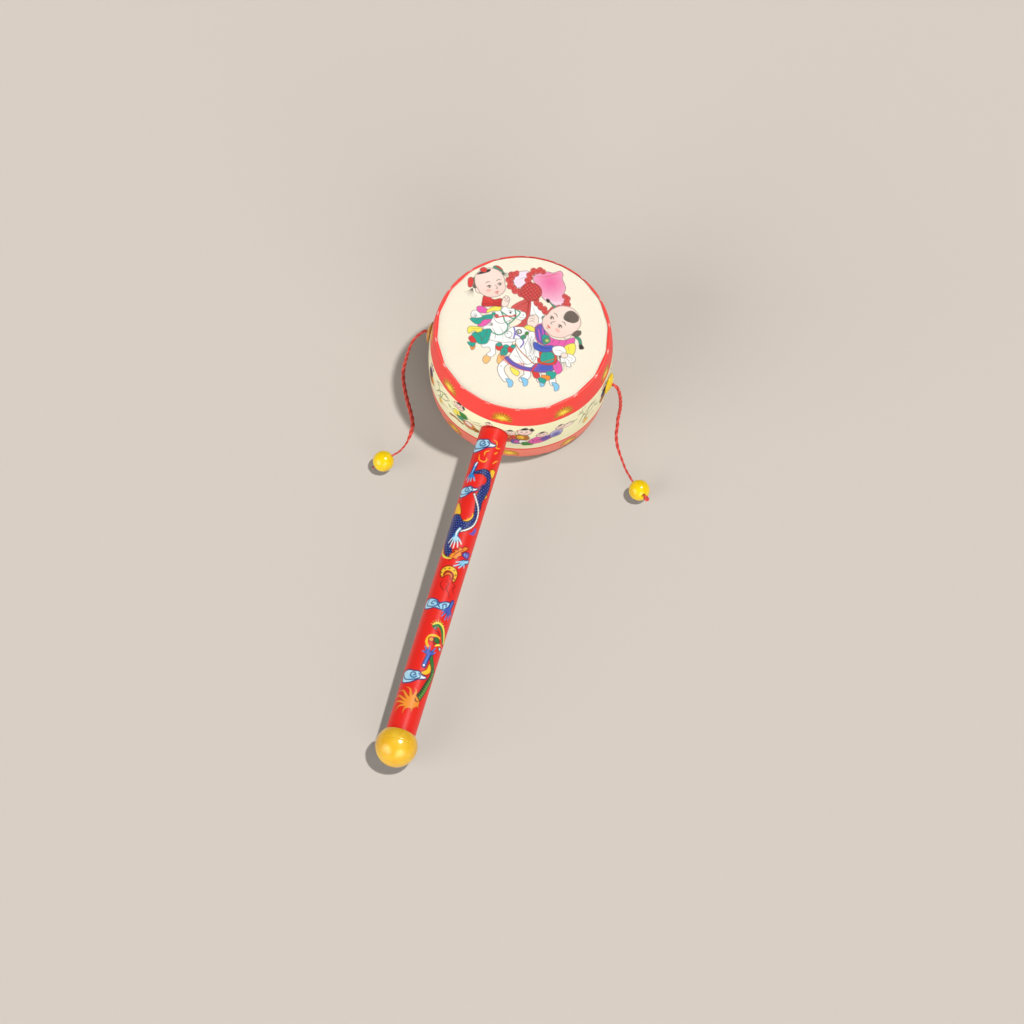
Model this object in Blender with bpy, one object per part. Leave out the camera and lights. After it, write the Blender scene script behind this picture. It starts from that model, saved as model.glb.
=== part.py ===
# Painted rattle drum: a small barrel-shaped drum on a round stick, lying on a table.
# Lengths are in metres and +Z is up.
# The drum is modelled about its own centre, with its axis along Z and its stick
# along -Y, then laid down so that its lower rim and the knob both touch z = 0.
import math

import bmesh
import bpy
from mathutils import Matrix, Vector

# Drum body
DRUM_HEIGHT = 0.0415      # over both folded edges
MID_RADIUS = 0.0384       # outside, at half height
BULGE = 0.0017            # how much less the radius is where the paper starts to fold
FOLD_RADIUS = 0.0008      # rounding of the folded edge
PAPER = 0.0004            # printed paper round the side
LIP_SIDES = 18            # straight creased sides of the folded lip
LIP_WIDTH = 0.00175       # from the fold's outside to the middle of a lip side
HEAD_THICKNESS = 0.0006
HOOP_WALL = 0.0028        # wooden hoop, at its rims
GAP = 0.0003              # clearance between neighbouring pieces

# Stick and knob
STICK_RADIUS = 0.0061
STICK_INSIDE = 0.0040     # how far the stick's end reaches inside the hoop
STICK_EDGE = 0.0005       # chamfer of the stick's ends
KNOB_RADIUS = 0.0085
KNOB_DISTANCE = 0.1862    # from the drum's axis to the knob's centre
COLLAR_WALL = 0.00045     # the knob's edge round the stick
SOCKET_DEPTH = 0.0045     # how far the stick goes into the knob
SEAM_DEPTH = 0.00012      # moulding seam round the knob's middle
SEAM_WIDTH = 0.00050

# Cord plugs, one on each side of the drum
PLUG_RADIUS = 0.0046
PLUG_HEIGHT = 0.0019
PLUG_EDGE = 0.0006
SHANK_RADIUS = 0.0021
SHANK_LENGTH = 0.0052
PLUG_TURN = {-1: 0.0, 1: math.radians(-4.5)}    # of each side's plug, from square to the stick
PLUG_RISE = {-1: 0.0, 1: 0.0025}                # over half height

# Cords with a bead and a knot on each
CORD_RADIUS = 0.0007
BEAD_RADIUS = 0.0044
KNOT_RADIUS = 0.0013
KNOT_LENGTH = {"left_knot": 0.0010, "right_knot": 0.0026}
CORD_IN_PLUG = 0.0015     # how far a cord starts inside its plug

# Facets
RING_SEGMENTS = 54        # three to each side of the folded lip
STICK_SEGMENTS = 32
KNOB_SEGMENTS = 32
PLUG_SEGMENTS = 24
BEAD_SEGMENTS = 18
KNOT_SEGMENTS = 10
BARREL_STEPS = 8
ROUND_STEPS = 3

# Each bead's centre on the table, the way its bore points, and how steeply it rises
LEFT_BEAD = (-0.0428, 0.0225)
LEFT_BORE_WAY = (-0.76, -0.65, -0.466)    # towards the knot
RIGHT_BEAD = (0.0626, 0.0412)
RIGHT_BORE_WAY = (0.68, -0.73, 0.324)

# Routes of the cords between the plug and the bead, over and along the table
LEFT_ROUTE = (
    (-0.0429, 0.0769, 0.0224), (-0.0449, 0.0758, 0.0196), (-0.0463, 0.0746, 0.0155),
    (-0.0470, 0.0735, 0.0110), (-0.0475, 0.0723, 0.0063), (-0.0476, 0.0700, 0.0015),
    (-0.0463, 0.0656, 0.0008),
    (-0.0441, 0.0606, 0.0008), (-0.0413, 0.0552, 0.0008), (-0.0386, 0.0504, 0.0008),
    (-0.0366, 0.0458, 0.0008), (-0.0361, 0.0415, 0.0008), (-0.0362, 0.0389, 0.0011),
    (-0.0364, 0.0354, 0.0019),
    (-0.0371, 0.0318, 0.0031), (-0.0380, 0.0286, 0.0045),
)
RIGHT_ROUTE = (
    (0.0428, 0.0746, 0.0236), (0.0440, 0.0748, 0.0195), (0.0447, 0.0753, 0.0140),
    (0.0450, 0.0759, 0.0080), (0.0449, 0.0758, 0.0033), (0.0450, 0.0742, 0.0012),
    (0.0456, 0.0712, 0.0008),
    (0.0463, 0.0667, 0.0008), (0.0479, 0.0622, 0.0008), (0.0500, 0.0583, 0.0008),
    (0.0523, 0.0546, 0.0009), (0.0548, 0.0506, 0.0015), (0.0573, 0.0473, 0.0024),
)

# Worked out from the sizes above
HALF_HEIGHT = DRUM_HEIGHT / 2
BARREL_ARC = ((HALF_HEIGHT - FOLD_RADIUS) ** 2 + BULGE ** 2) / (2 * BULGE)
FOLD_START = (HALF_HEIGHT - FOLD_RADIUS) / (1 - FOLD_RADIUS / BARREL_ARC)
FOLD_ANGLE = math.asin(FOLD_START / BARREL_ARC)
FOLD_CENTRE_RADIUS = (MID_RADIUS - BARREL_ARC
                      + (BARREL_ARC - FOLD_RADIUS) * math.cos(FOLD_ANGLE))
FOLD_CENTRE_HEIGHT = HALF_HEIGHT - FOLD_RADIUS
HEAD_TOP = HALF_HEIGHT - PAPER - GAP
HEAD_RADIUS = FOLD_CENTRE_RADIUS
HOOP_TOP = HEAD_TOP - HEAD_THICKNESS - GAP
COLLAR_RADIUS = STICK_RADIUS + GAP + COLLAR_WALL
COLLAR_RISE = math.sqrt(KNOB_RADIUS ** 2 - COLLAR_RADIUS ** 2)
CORD_HOLE = CORD_RADIUS + GAP


def barrel_radius(height, inset=0.0):
    """Radius of the bulging side at a height, a surface's depth inside the outermost one."""
    arc = BARREL_ARC - inset
    return MID_RADIUS - BARREL_ARC + math.sqrt(arc ** 2 - height ** 2)


HOOP_BORE = barrel_radius(HOOP_TOP, PAPER + GAP) - HOOP_WALL


def material(name, colour, roughness, metallic=0.0):
    made = bpy.data.materials.new(name)
    made.use_nodes = True
    shader = made.node_tree.nodes["Principled BSDF"]
    shader.inputs["Base Color"].default_value = (*colour, 1.0)
    shader.inputs["Roughness"].default_value = roughness
    shader.inputs["Metallic"].default_value = metallic
    made.diffuse_color = (*colour, 1.0)
    return made


def add(name, mesh, finish, parent=None, crease=35):
    """Put a mesh in the scene as one named object, smooth but for its sharp edges."""
    if finish is not None:
        mesh.materials.append(finish)
    mesh.shade_smooth()
    mesh.set_sharp_from_angle(angle=math.radians(crease))
    piece = bpy.data.objects.new(name, mesh)
    bpy.context.scene.collection.objects.link(piece)
    piece.parent = parent
    return piece


def turned(name, profile, segments):
    """Spin an outline of (radius, height) points round Z into one closed mesh.

    An outline that starts and ends on the axis makes a solid, and one that keeps off the
    axis is closed on itself and makes a ring. A flat of the spun shape faces -Y.
    """
    work = bmesh.new()
    start = -math.pi / 2 + math.pi / segments
    ring = all(radius > 0 for radius, height in profile)
    points = [work.verts.new((radius * math.cos(start), radius * math.sin(start), height))
              for radius, height in profile]
    edges = [work.edges.new(pair) for pair in zip(points, points[1:])]
    if ring:
        edges.append(work.edges.new((points[-1], points[0])))
    bmesh.ops.spin(work, geom=points + edges, axis=(0, 0, 1), cent=(0, 0, 0),
                   angle=math.tau, steps=segments, use_merge=True)
    bmesh.ops.remove_doubles(work, verts=work.verts, dist=1e-7)
    bmesh.ops.dissolve_degenerate(work, edges=work.edges, dist=1e-7)
    bmesh.ops.recalc_face_normals(work, faces=work.faces)
    mesh = bpy.data.meshes.new(name)
    work.to_mesh(mesh)
    work.free()
    return mesh


def arc(centre, radius, start, end, steps):
    """Points on an arc in the (radius, height) plane, its angles measured from outwards."""
    angles = [start + (end - start) * step / steps for step in range(steps + 1)]
    return [(centre[0] + radius * math.cos(angle), centre[1] + radius * math.sin(angle))
            for angle in angles]


def cutter(name, radius, length, segments, parent, turn, place):
    """A hidden round bar that another piece is cut with."""
    work = bmesh.new()
    bmesh.ops.create_cone(work, cap_ends=True, segments=segments, radius1=radius,
                          radius2=radius, depth=length,
                          matrix=Matrix.Rotation(math.pi / segments, 4, "Z"))
    mesh = bpy.data.meshes.new(name)
    work.to_mesh(mesh)
    work.free()
    bar = add(name, mesh, None, parent)
    bar.rotation_euler = turn
    bar.location = place
    bar.hide_render = True
    bar.display_type = "WIRE"
    return bar


def cut(piece, bar):
    hole = piece.modifiers.new("Cut " + bar.name, "BOOLEAN")
    hole.operation = "DIFFERENCE"
    hole.solver = "EXACT"
    hole.object = bar


def make_side_wrap(finish, parent):
    """Printed paper round the side, folded over both heads to an edge of straight creases."""
    lip_radius = MID_RADIUS - BULGE - LIP_WIDTH
    outside = arc((MID_RADIUS - BARREL_ARC, 0), BARREL_ARC, -FOLD_ANGLE, FOLD_ANGLE,
                  BARREL_STEPS)
    fold_out = arc((FOLD_CENTRE_RADIUS, FOLD_CENTRE_HEIGHT), FOLD_RADIUS, FOLD_ANGLE,
                   math.pi / 2, ROUND_STEPS)[1:]
    fold_in = arc((FOLD_CENTRE_RADIUS, FOLD_CENTRE_HEIGHT), FOLD_RADIUS - PAPER,
                  math.pi / 2, FOLD_ANGLE, ROUND_STEPS)
    inside = arc((MID_RADIUS - BARREL_ARC, 0), BARREL_ARC - PAPER, FOLD_ANGLE, -FOLD_ANGLE,
                 BARREL_STEPS)[1:-1]
    lip = [(lip_radius, HALF_HEIGHT), (lip_radius, HALF_HEIGHT - PAPER)]
    upper = fold_out + lip + fold_in
    lower = [(radius, -height) for radius, height in reversed(upper)]
    mesh = turned("side_wrap", outside + upper + inside + lower, RING_SEGMENTS)
    side_angle = math.tau / LIP_SIDES
    for vertex in mesh.vertices:
        x, y, z = vertex.co
        if math.hypot(x, y) < lip_radius + PAPER / 2:
            along = (math.atan2(y, x) + math.pi / 2 + side_angle / 2) % side_angle
            stretch = 1 / math.cos(along - side_angle / 2)
            vertex.co = (x * stretch, y * stretch, z)
    return add("side_wrap", mesh, finish, parent)


def make_hoop(finish, parent):
    """Wooden hoop under the paper, bulging outside and straight inside."""
    top_angle = math.asin(HOOP_TOP / (BARREL_ARC - PAPER - GAP))
    outside = arc((MID_RADIUS - BARREL_ARC, 0), BARREL_ARC - PAPER - GAP, -top_angle,
                  top_angle, BARREL_STEPS)
    inside = [(HOOP_BORE, HOOP_TOP), (HOOP_BORE, -HOOP_TOP)]
    return add("drum_hoop", turned("drum_hoop", outside + inside, RING_SEGMENTS), finish,
               parent)


def make_head(name, finish, parent, side):
    """Flat round skin under the folded lip, above or below."""
    bottom = HEAD_TOP - HEAD_THICKNESS
    profile = [(0, bottom), (HEAD_RADIUS, bottom), (HEAD_RADIUS, HEAD_TOP), (0, HEAD_TOP)]
    profile = [(radius, side * height) for radius, height in profile]
    return add(name, turned(name, profile, RING_SEGMENTS), finish, parent)


def make_stick(finish, parent):
    """Round stick from inside the drum to inside the knob, with chamfered ends."""
    start = HOOP_BORE - STICK_INSIDE
    end = KNOB_DISTANCE - COLLAR_RISE + SOCKET_DEPTH - GAP
    small = STICK_RADIUS - STICK_EDGE
    profile = [(0, start), (small, start), (STICK_RADIUS, start + STICK_EDGE),
               (STICK_RADIUS, end - STICK_EDGE), (small, end), (0, end)]
    stick = add("handle", turned("handle", profile, STICK_SEGMENTS), finish, parent)
    stick.rotation_euler = (math.pi / 2, 0, 0)
    return stick


def make_knob(finish, parent):
    """Ball end cap with a socket for the stick, a slightly conical shoulder and a seam."""
    seam_angle = SEAM_WIDTH / 2 / KNOB_RADIUS
    socket = STICK_RADIUS + GAP
    swell = KNOB_RADIUS - COLLAR_RADIUS
    shoulder = [(COLLAR_RADIUS, -COLLAR_RISE),
                (COLLAR_RADIUS + swell * 0.54, -COLLAR_RISE * 0.74),
                (COLLAR_RADIUS + swell * 0.90, -COLLAR_RISE * 0.34)]
    seam = [(KNOB_RADIUS * math.cos(seam_angle), -SEAM_WIDTH / 2),
            (KNOB_RADIUS - SEAM_DEPTH, 0)]
    ball = arc((0, 0), KNOB_RADIUS, seam_angle, math.pi / 2, 9)[:-1]
    profile = ([(0, SOCKET_DEPTH - COLLAR_RISE), (socket, SOCKET_DEPTH - COLLAR_RISE),
                (socket, -COLLAR_RISE)] + shoulder + seam + ball + [(0, KNOB_RADIUS)])
    knob = add("end_knob", turned("end_knob", profile, KNOB_SEGMENTS), finish, parent)
    knob.location = (0, -KNOB_DISTANCE, 0)
    knob.rotation_euler = (math.pi / 2, 0, 0)
    return knob


def make_plug(name, finish, parent, side):
    """Low dome on the drum's side with a shank through the wall and a hole for the cord."""
    base = MID_RADIUS + GAP
    dome_drop = PLUG_HEIGHT - PLUG_EDGE
    dome_arc = (PLUG_RADIUS ** 2 + dome_drop ** 2) / (2 * dome_drop)
    slope = math.asin(PLUG_RADIUS / dome_arc)
    hole_slope = math.asin(CORD_HOLE / dome_arc)
    dome = arc((0, base + PLUG_HEIGHT - dome_arc), dome_arc, math.pi / 2 - slope,
               math.pi / 2 - hole_slope, 5)
    foot = base - SHANK_LENGTH
    profile = ([(CORD_HOLE, foot), (SHANK_RADIUS, foot), (SHANK_RADIUS, base),
                (PLUG_RADIUS, base)] + dome)
    plug = add(name, turned(name, profile, PLUG_SEGMENTS), finish, parent)
    plug.rotation_euler = (0, side * math.pi / 2, PLUG_TURN[side])
    plug.location = (0, 0, PLUG_RISE[side])
    return plug


def on_plug_line(side, distance):
    """Point of the drum on one side's plug axis, at a distance from the drum's axis."""
    turn = PLUG_TURN[side]
    return Vector((side * distance * math.cos(turn), side * distance * math.sin(turn),
                   PLUG_RISE[side]))


def bore_direction(way):
    """Unit vector of a bead's bore towards the knot."""
    return Vector(way).normalized()


def make_bead(name, finish, place, way):
    """Round bead on the table with the cord's hole through it."""
    mouth = math.asin(CORD_HOLE / BEAD_RADIUS)
    profile = arc((0, 0), BEAD_RADIUS, mouth - math.pi / 2, math.pi / 2 - mouth, 11)
    bead = add(name, turned(name, profile, BEAD_SEGMENTS), finish)
    bead.location = (*place, BEAD_RADIUS)
    bead.rotation_euler = bore_direction(way).to_track_quat("Z", "Y").to_euler()
    return bead


def make_knot(name, finish, place, way):
    """Short tied end of the cord, standing out of the bead's far mouth."""
    start = math.sqrt(BEAD_RADIUS ** 2 - CORD_HOLE ** 2) + 2 * GAP
    soft = KNOT_RADIUS * 0.65
    length = KNOT_LENGTH[name]
    profile = [(0, start), (soft, start), (KNOT_RADIUS, start + length * 0.2),
               (KNOT_RADIUS, start + length * 0.75), (soft, start + length),
               (0, start + length)]
    knot = add(name, turned(name, profile, KNOT_SEGMENTS), finish)
    knot.location = (*place, BEAD_RADIUS)
    knot.rotation_euler = bore_direction(way).to_track_quat("Z", "Y").to_euler()
    return knot


def smooth_path(points, spacing):
    """Even steps along a Catmull-Rom curve through the points."""
    points = [Vector(point) for point in points]
    ends = [points[0] * 2 - points[1]] + points + [points[-1] * 2 - points[-2]]
    fine = []
    for before, start, end, after in zip(ends, ends[1:], ends[2:], ends[3:]):
        for step in range(20):
            t = step / 20
            fine.append(0.5 * (2 * start + (end - before) * t
                               + (2 * before - 5 * start + 4 * end - after) * t ** 2
                               + (3 * start - before - 3 * end + after) * t ** 3))
    fine.append(points[-1])
    lengths = [(b - a).length for a, b in zip(fine, fine[1:])]
    count = round(sum(lengths) / spacing)
    step = sum(lengths) / count
    even = [fine[0]]
    walked = 0.0
    for a, b, length in zip(fine, fine[1:], lengths):
        while walked + length >= step * len(even) and len(even) < count:
            even.append(a.lerp(b, (step * len(even) - walked) / length))
        walked += length
    return even + [fine[-1]]


def make_cord(name, finish, drum_place, side, route, place, way):
    """Cord from inside its plug, over the table, through the bead's bore to the knot."""
    mouth = MID_RADIUS + GAP + PLUG_HEIGHT
    plug_points = [drum_place @ on_plug_line(side, mouth - CORD_IN_PLUG),
                   drum_place @ on_plug_line(side, mouth + CORD_RADIUS)]
    centre = Vector((*place, BEAD_RADIUS))
    along = bore_direction(way)
    far = math.sqrt(BEAD_RADIUS ** 2 - CORD_HOLE ** 2) + GAP
    bead_points = [centre - along * BEAD_RADIUS, centre, centre + along * far]
    path = smooth_path(plug_points + list(route) + bead_points, CORD_RADIUS * 4.4)
    curve = bpy.data.curves.new(name, "CURVE")
    curve.dimensions = "3D"
    curve.bevel_depth = CORD_RADIUS
    curve.bevel_resolution = 2
    curve.use_fill_caps = True
    spline = curve.splines.new("POLY")
    spline.points.add(len(path) - 1)
    for point, position in zip(spline.points, path):
        point.co = (*position, 1.0)
    curve.materials.append(finish)
    cord = bpy.data.objects.new(name, curve)
    bpy.context.scene.collection.objects.link(cord)
    return cord


def lay_down():
    """Tilt and place of the drum: lower rim and knob on z = 0, length centred on the origin."""
    rise = FOLD_CENTRE_HEIGHT
    reach = KNOB_DISTANCE - FOLD_CENTRE_RADIUS
    tilt = (math.atan2(rise, reach)
            - math.asin((KNOB_RADIUS - FOLD_RADIUS) / math.hypot(rise, reach)))
    height = (FOLD_CENTRE_RADIUS * math.sin(tilt) + FOLD_CENTRE_HEIGHT * math.cos(tilt)
              + FOLD_RADIUS)
    far = BARREL_ARC - (BARREL_ARC - MID_RADIUS) * math.cos(tilt)
    near = KNOB_DISTANCE * math.cos(tilt) + KNOB_RADIUS
    return tilt, Vector((0, (near - far) / 2, height))


def build():
    for old in list(bpy.data.objects):
        bpy.data.objects.remove(old, do_unlink=True)

    printed_paper = material("printed_paper", (0.80, 0.07, 0.04), 0.32)
    hoop_wood = material("hoop_wood", (0.62, 0.43, 0.25), 0.6)
    cream_skin = material("cream_skin", (0.94, 0.88, 0.72), 0.5)
    stick_paint = material("stick_paint", (0.84, 0.05, 0.03), 0.28)
    golden_cap = material("golden_cap", (0.93, 0.60, 0.06), 0.25, 0.2)
    yellow_plastic = material("yellow_plastic", (0.95, 0.72, 0.02), 0.22)
    red_cord = material("red_cord", (0.60, 0.03, 0.03), 0.7)

    tilt, centre = lay_down()
    drum = bpy.data.objects.new("drum_place", None)
    bpy.context.scene.collection.objects.link(drum)
    drum.location = centre
    drum.rotation_euler = (tilt, 0, 0)
    drum_place = Matrix.Translation(centre) @ Matrix.Rotation(tilt, 4, "X")

    wrap = make_side_wrap(printed_paper, drum)
    hoop = make_hoop(hoop_wood, drum)
    make_head("upper_head", cream_skin, drum, 1)
    make_head("lower_head", cream_skin, drum, -1)
    make_stick(stick_paint, drum)
    make_knob(golden_cap, drum)

    stick_hole = cutter("stick_hole", STICK_RADIUS + GAP, MID_RADIUS, STICK_SEGMENTS, drum,
                        (math.pi / 2, 0, 0), (0, -MID_RADIUS, 0))
    for piece in (wrap, hoop):
        cut(piece, stick_hole)

    for name, side in (("left", -1), ("right", 1)):
        make_plug(name + "_cord_plug", yellow_plastic, drum, side)
        hole = cutter(name + "_plug_hole", SHANK_RADIUS + GAP, MID_RADIUS, PLUG_SEGMENTS,
                      drum, (0, math.pi / 2, PLUG_TURN[side]), on_plug_line(side, MID_RADIUS))
        for piece in (wrap, hoop):
            cut(piece, hole)

    for name, side, route, place, way in (
            ("left", -1, LEFT_ROUTE, LEFT_BEAD, LEFT_BORE_WAY),
            ("right", 1, RIGHT_ROUTE, RIGHT_BEAD, RIGHT_BORE_WAY)):
        make_bead(name + "_bead", yellow_plastic, place, way)
        make_knot(name + "_knot", red_cord, place, way)
        make_cord(name + "_cord", red_cord, drum_place, side, route, place, way)


build()
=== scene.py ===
# Painted rattle drum: looks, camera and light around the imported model.
# Lengths are in metres, but the prints are laid out in millimetres on their own flat sheets.
import math

import bpy
import numpy as np
from mathutils import Matrix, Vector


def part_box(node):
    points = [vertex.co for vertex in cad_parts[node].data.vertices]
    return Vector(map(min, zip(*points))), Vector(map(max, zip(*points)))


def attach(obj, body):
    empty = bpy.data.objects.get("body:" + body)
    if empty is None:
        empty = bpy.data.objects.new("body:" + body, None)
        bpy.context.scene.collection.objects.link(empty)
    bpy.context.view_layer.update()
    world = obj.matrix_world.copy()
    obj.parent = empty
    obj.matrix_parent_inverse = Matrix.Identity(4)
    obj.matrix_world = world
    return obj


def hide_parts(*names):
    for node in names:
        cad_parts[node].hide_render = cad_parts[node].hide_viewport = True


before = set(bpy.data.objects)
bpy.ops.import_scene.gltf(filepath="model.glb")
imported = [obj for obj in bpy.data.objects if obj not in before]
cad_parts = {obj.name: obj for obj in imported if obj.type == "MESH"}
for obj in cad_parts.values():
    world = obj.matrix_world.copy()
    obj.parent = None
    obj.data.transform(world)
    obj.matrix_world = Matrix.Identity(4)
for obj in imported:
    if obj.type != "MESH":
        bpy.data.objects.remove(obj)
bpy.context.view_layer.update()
print("frame loaded")

millimetres = 1000       # in a metre


# Camera: at the photo's angle, far off with a long lens
camera = {
    "place": (0.1879, -1.0565, 1.7671),
    "aim": (0.0144, 0.0175, 0.0),
    "roll": -7.205,          # degrees, about the line of sight
    "lens": 175.8,
    "sensor": 36.0,
    "clip": (0.05, 50.0),    # nearest and farthest distance it shows
}


def unit(vector):
    # a vector divided by its length
    vector = np.asarray(vector, float)
    return vector / np.linalg.norm(vector, axis=-1, keepdims=True)


def show(name, made):
    # a mesh, a light or a camera as an object in the scene
    shown = bpy.data.objects.new(name, made)
    bpy.context.scene.collection.objects.link(shown)
    return shown


def standing(right, up, back, place):
    # the matrix whose columns are an object's own X, Y and Z and its place
    columns = np.identity(4)
    columns[:3] = np.stack((right, up, back, place), axis=1)
    return Matrix(columns)


def makeCamera(c):
    # looks from place to aim, level but for the roll
    forward = unit(np.subtract(c["aim"], c["place"]))
    level = unit(np.cross(forward, (0, 0, 1)))
    roll = math.radians(c["roll"])
    right = level * math.cos(roll) - np.cross(level, forward) * math.sin(roll)
    made = bpy.data.cameras.new("camera")
    made.lens = c["lens"]
    made.sensor_width = c["sensor"]
    made.clip_start, made.clip_end = c["clip"]
    shown = show("camera", made)
    shown.matrix_world = standing(right, np.cross(right, forward), -forward, c["place"])
    bpy.context.scene.camera = shown
    print("camera made")


makeCamera(camera)


# The drum lies tilted: its place and axis come from the two flat heads of the model
def middleOf(node):
    # halfway between the two corners of a node's box
    low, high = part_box(node)
    return (np.array(low) + np.array(high)) / 2


drumCentre = (middleOf("upper_head") + middleOf("lower_head")) / 2
drumUp = unit(middleOf("upper_head") - middleOf("lower_head"))
drumAxes = np.array([(1, 0, 0), np.cross(drumUp, (1, 0, 0)), drumUp])


def fromDrum(points):
    # points given about the drum's centre, its axis along Z and its stick along -Y
    return drumCentre + np.asarray(points, float) @ drumAxes


def turnedTo(points, place, axis):
    # points given about an axis along Z, stood up along another axis at a place
    axis = unit(axis)
    side = unit(np.cross((0, 0, 1) if abs(axis[2]) < 0.9 else (1, 0, 0), axis))
    return np.asarray(place) + points @ np.array([side, np.cross(axis, side), axis])


# Meshes: rings of points joined row to row
def ringFaces(rows, around, loop=False):
    # four-sided faces between rings of points, each ring closed, the last joined to the
    # first where they loop
    row = np.arange(rows if loop else rows - 1)[:, None]
    step = np.arange(around)[None, :]
    after = (step + 1) % around
    below = (row + 1) % rows
    corners = (row * around + step, row * around + after, below * around + after,
               below * around + step)
    return np.stack(corners, axis=-1).reshape(-1, 4)


def fanFaces(ring, pole):
    # triangles from a ring of point numbers to one pole
    ring = np.asarray(ring)
    return np.stack((ring, np.roll(ring, -1), np.full(len(ring), pole)), axis=-1)


def cappedRings(points, rows, around, start, end):
    # rings joined row to row, with a fan to one more point at each end
    ring = np.arange(around)
    number = rows * around
    faces = [ringFaces(rows, around), fanFaces(ring[::-1], number),
             fanFaces(ring + number - around, number + 1)]
    return np.vstack((points.reshape(-1, 3), start, end)), faces


def volumeOf(points, faces):
    # signed volume: a sixth of the sum of corner products over the faces cut in triangles
    total = 0.0
    for block in faces:
        for corner in range(1, block.shape[1] - 1):
            a, b, c = (points[block[:, k]] for k in (0, corner, corner + 1))
            total += np.einsum("ij,ij->i", a, np.cross(b, c)).sum() / 6
    return total


def asPaint(colours):
    # the attribute of a print: its colour at each point, with a full alpha
    return [("paint", "FLOAT_COLOR", np.insert(colours, 3, 1.0, axis=1))]


def asTwist(groove, along, angle, wind):
    # the attributes of a twist: how high on its ply each point is, and its place along the
    # cord in millimetres, round the cord and round the ply; the two end points come last
    wound = np.stack(np.broadcast_arrays(along * millimetres, angle, wind / math.tau), axis=-1)
    return [("groove", "FLOAT", np.append(groove.ravel(), (1.0, 1.0))),
            ("wound", "FLOAT_VECTOR", np.vstack((wound.reshape(-1, 3), np.zeros((2, 3)))))]


attributeField = {"FLOAT_COLOR": "color", "FLOAT_VECTOR": "vector", "FLOAT": "value"}


def addPiece(name, points, faces, finish, slot, stands, layers=(), crease=None):
    # one closed mesh that faces outwards, with its attributes at each point
    points = np.asarray(points, float)
    if volumeOf(points - points.mean(axis=0), faces) < 0:
        faces = [block[:, ::-1] for block in faces]
    mesh = bpy.data.meshes.new(name)
    mesh.from_pydata(points.tolist(), [], [face for block in faces for face in block.tolist()])
    for label, kind, values in layers:
        layer = mesh.attributes.new(label, kind, "POINT")
        layer.data.foreach_set(attributeField[kind], values.astype(np.float32).ravel())
    mesh.materials.append(finish)
    mesh.shade_smooth()
    if crease:
        mesh.set_sharp_from_angle(angle=math.radians(crease))
    piece = show(name, mesh)
    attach(piece, "root")
    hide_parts(*stands)
    # as in the photo, no red glow on the floor and no lines of shadow beside the cords
    piece.visible_diffuse = False
    piece.visible_shadow = slot != "red_cord"
    print(name, len(points), "points")
    return piece


# Materials: shader products written as plain expressions
class Value:
    # a number in the shader: a product with it adds a Math node
    def __init__(self, finish, socket):
        self.finish = finish
        self.socket = socket

    def __mul__(self, other):
        return self.finish.node("ShaderNodeMath", {"operation": "MULTIPLY"},
                                {0: self, 1: other})

    __rmul__ = __mul__


class Finish:
    # one material and its nodes
    def __init__(self, name, **fixed):
        self.material = bpy.data.materials.new(name)
        self.material.use_nodes = True
        self.tree = self.material.node_tree
        self.shader = self.tree.nodes["Principled BSDF"]
        self.feed(**fixed)

    def node(self, kind, settings=None, values=None, output=0):
        # a node of a kind: its settings first, then the values or links of its sockets
        made = self.tree.nodes.new(kind)
        for setting, value in (settings or {}).items():
            if setting == "stops":
                self.setStops(made.color_ramp, value)
            else:
                setattr(made, setting, value)
        for socket, value in (values or {}).items():
            self.give(made.inputs[socket], value)
        return Value(self, made.outputs[output])

    def setStops(self, ramp, stops):
        # the ramp's two own stops at its ends, and new ones between them
        for element, (place, colour) in zip(ramp.elements, (stops[0], stops[-1])):
            element.position, element.color = place, colour
        for place, colour in stops[1:-1]:
            ramp.elements.new(place).color = colour

    def give(self, socket, value):
        # a link to the socket, or a fixed value in it
        if isinstance(value, Value):
            self.tree.links.new(value.socket, socket)
        else:
            socket.default_value = value

    def feed(self, **values):
        # the shader's own sockets, named with _ for a space
        for socket, value in values.items():
            self.give(self.shader.inputs[socket.replace("_", " ")], value)

    def objectPoint(self):
        # where on the object a point is
        return self.node("ShaderNodeTexCoord", output="Object")

    def attribute(self, label, output="Color"):
        # what the mesh keeps at its points under a label
        return self.node("ShaderNodeAttribute", {"attribute_name": label}, output=output)

    def stretched(self, point, by):
        # a point times a vector, so that a pattern on it is drawn out
        return self.node("ShaderNodeVectorMath", {"operation": "MULTIPLY"}, {0: point, 1: by})

    def noise(self, point, scale, detail, roughness):
        # clouds of about 1 / scale across, from 0 to 1
        return self.node("ShaderNodeTexNoise", {}, {"Vector": point, "Scale": scale,
                         "Detail": detail, "Roughness": roughness}, "Fac")

    def spread(self, value, low, high, newLow=0.0, newHigh=1.0):
        # a value between low and high brought to between two new ends
        return self.node("ShaderNodeMapRange", {"clamp": True},
                         {0: value, 1: low, 2: high, 3: newLow, 4: newHigh})

    def mix(self, share, first, second, kind="MIX"):
        # colours go through inputs 6 and 7 of a Mix node and out at its third output
        return self.node("ShaderNodeMix", {"data_type": "RGBA", "blend_type": kind},
                         {0: share, 6: first, 7: second}, 2)

    def bump(self, height, strength, distance):
        # the surface's turn as if raised by height times distance
        return self.node("ShaderNodeBump", {}, {"Height": height, "Strength": strength,
                                                "Distance": distance})


def linear(colour):
    # a screen colour of 0 to 255 as the light it stands for
    share = np.asarray(colour, float) / 255
    return np.where(share <= 0.04045, share / 12.92, ((share + 0.055) / 1.055) ** 2.4)


def shade(colour):
    # a screen colour as a shader's colour
    return (*linear(colour).tolist(), 1.0)


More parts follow.
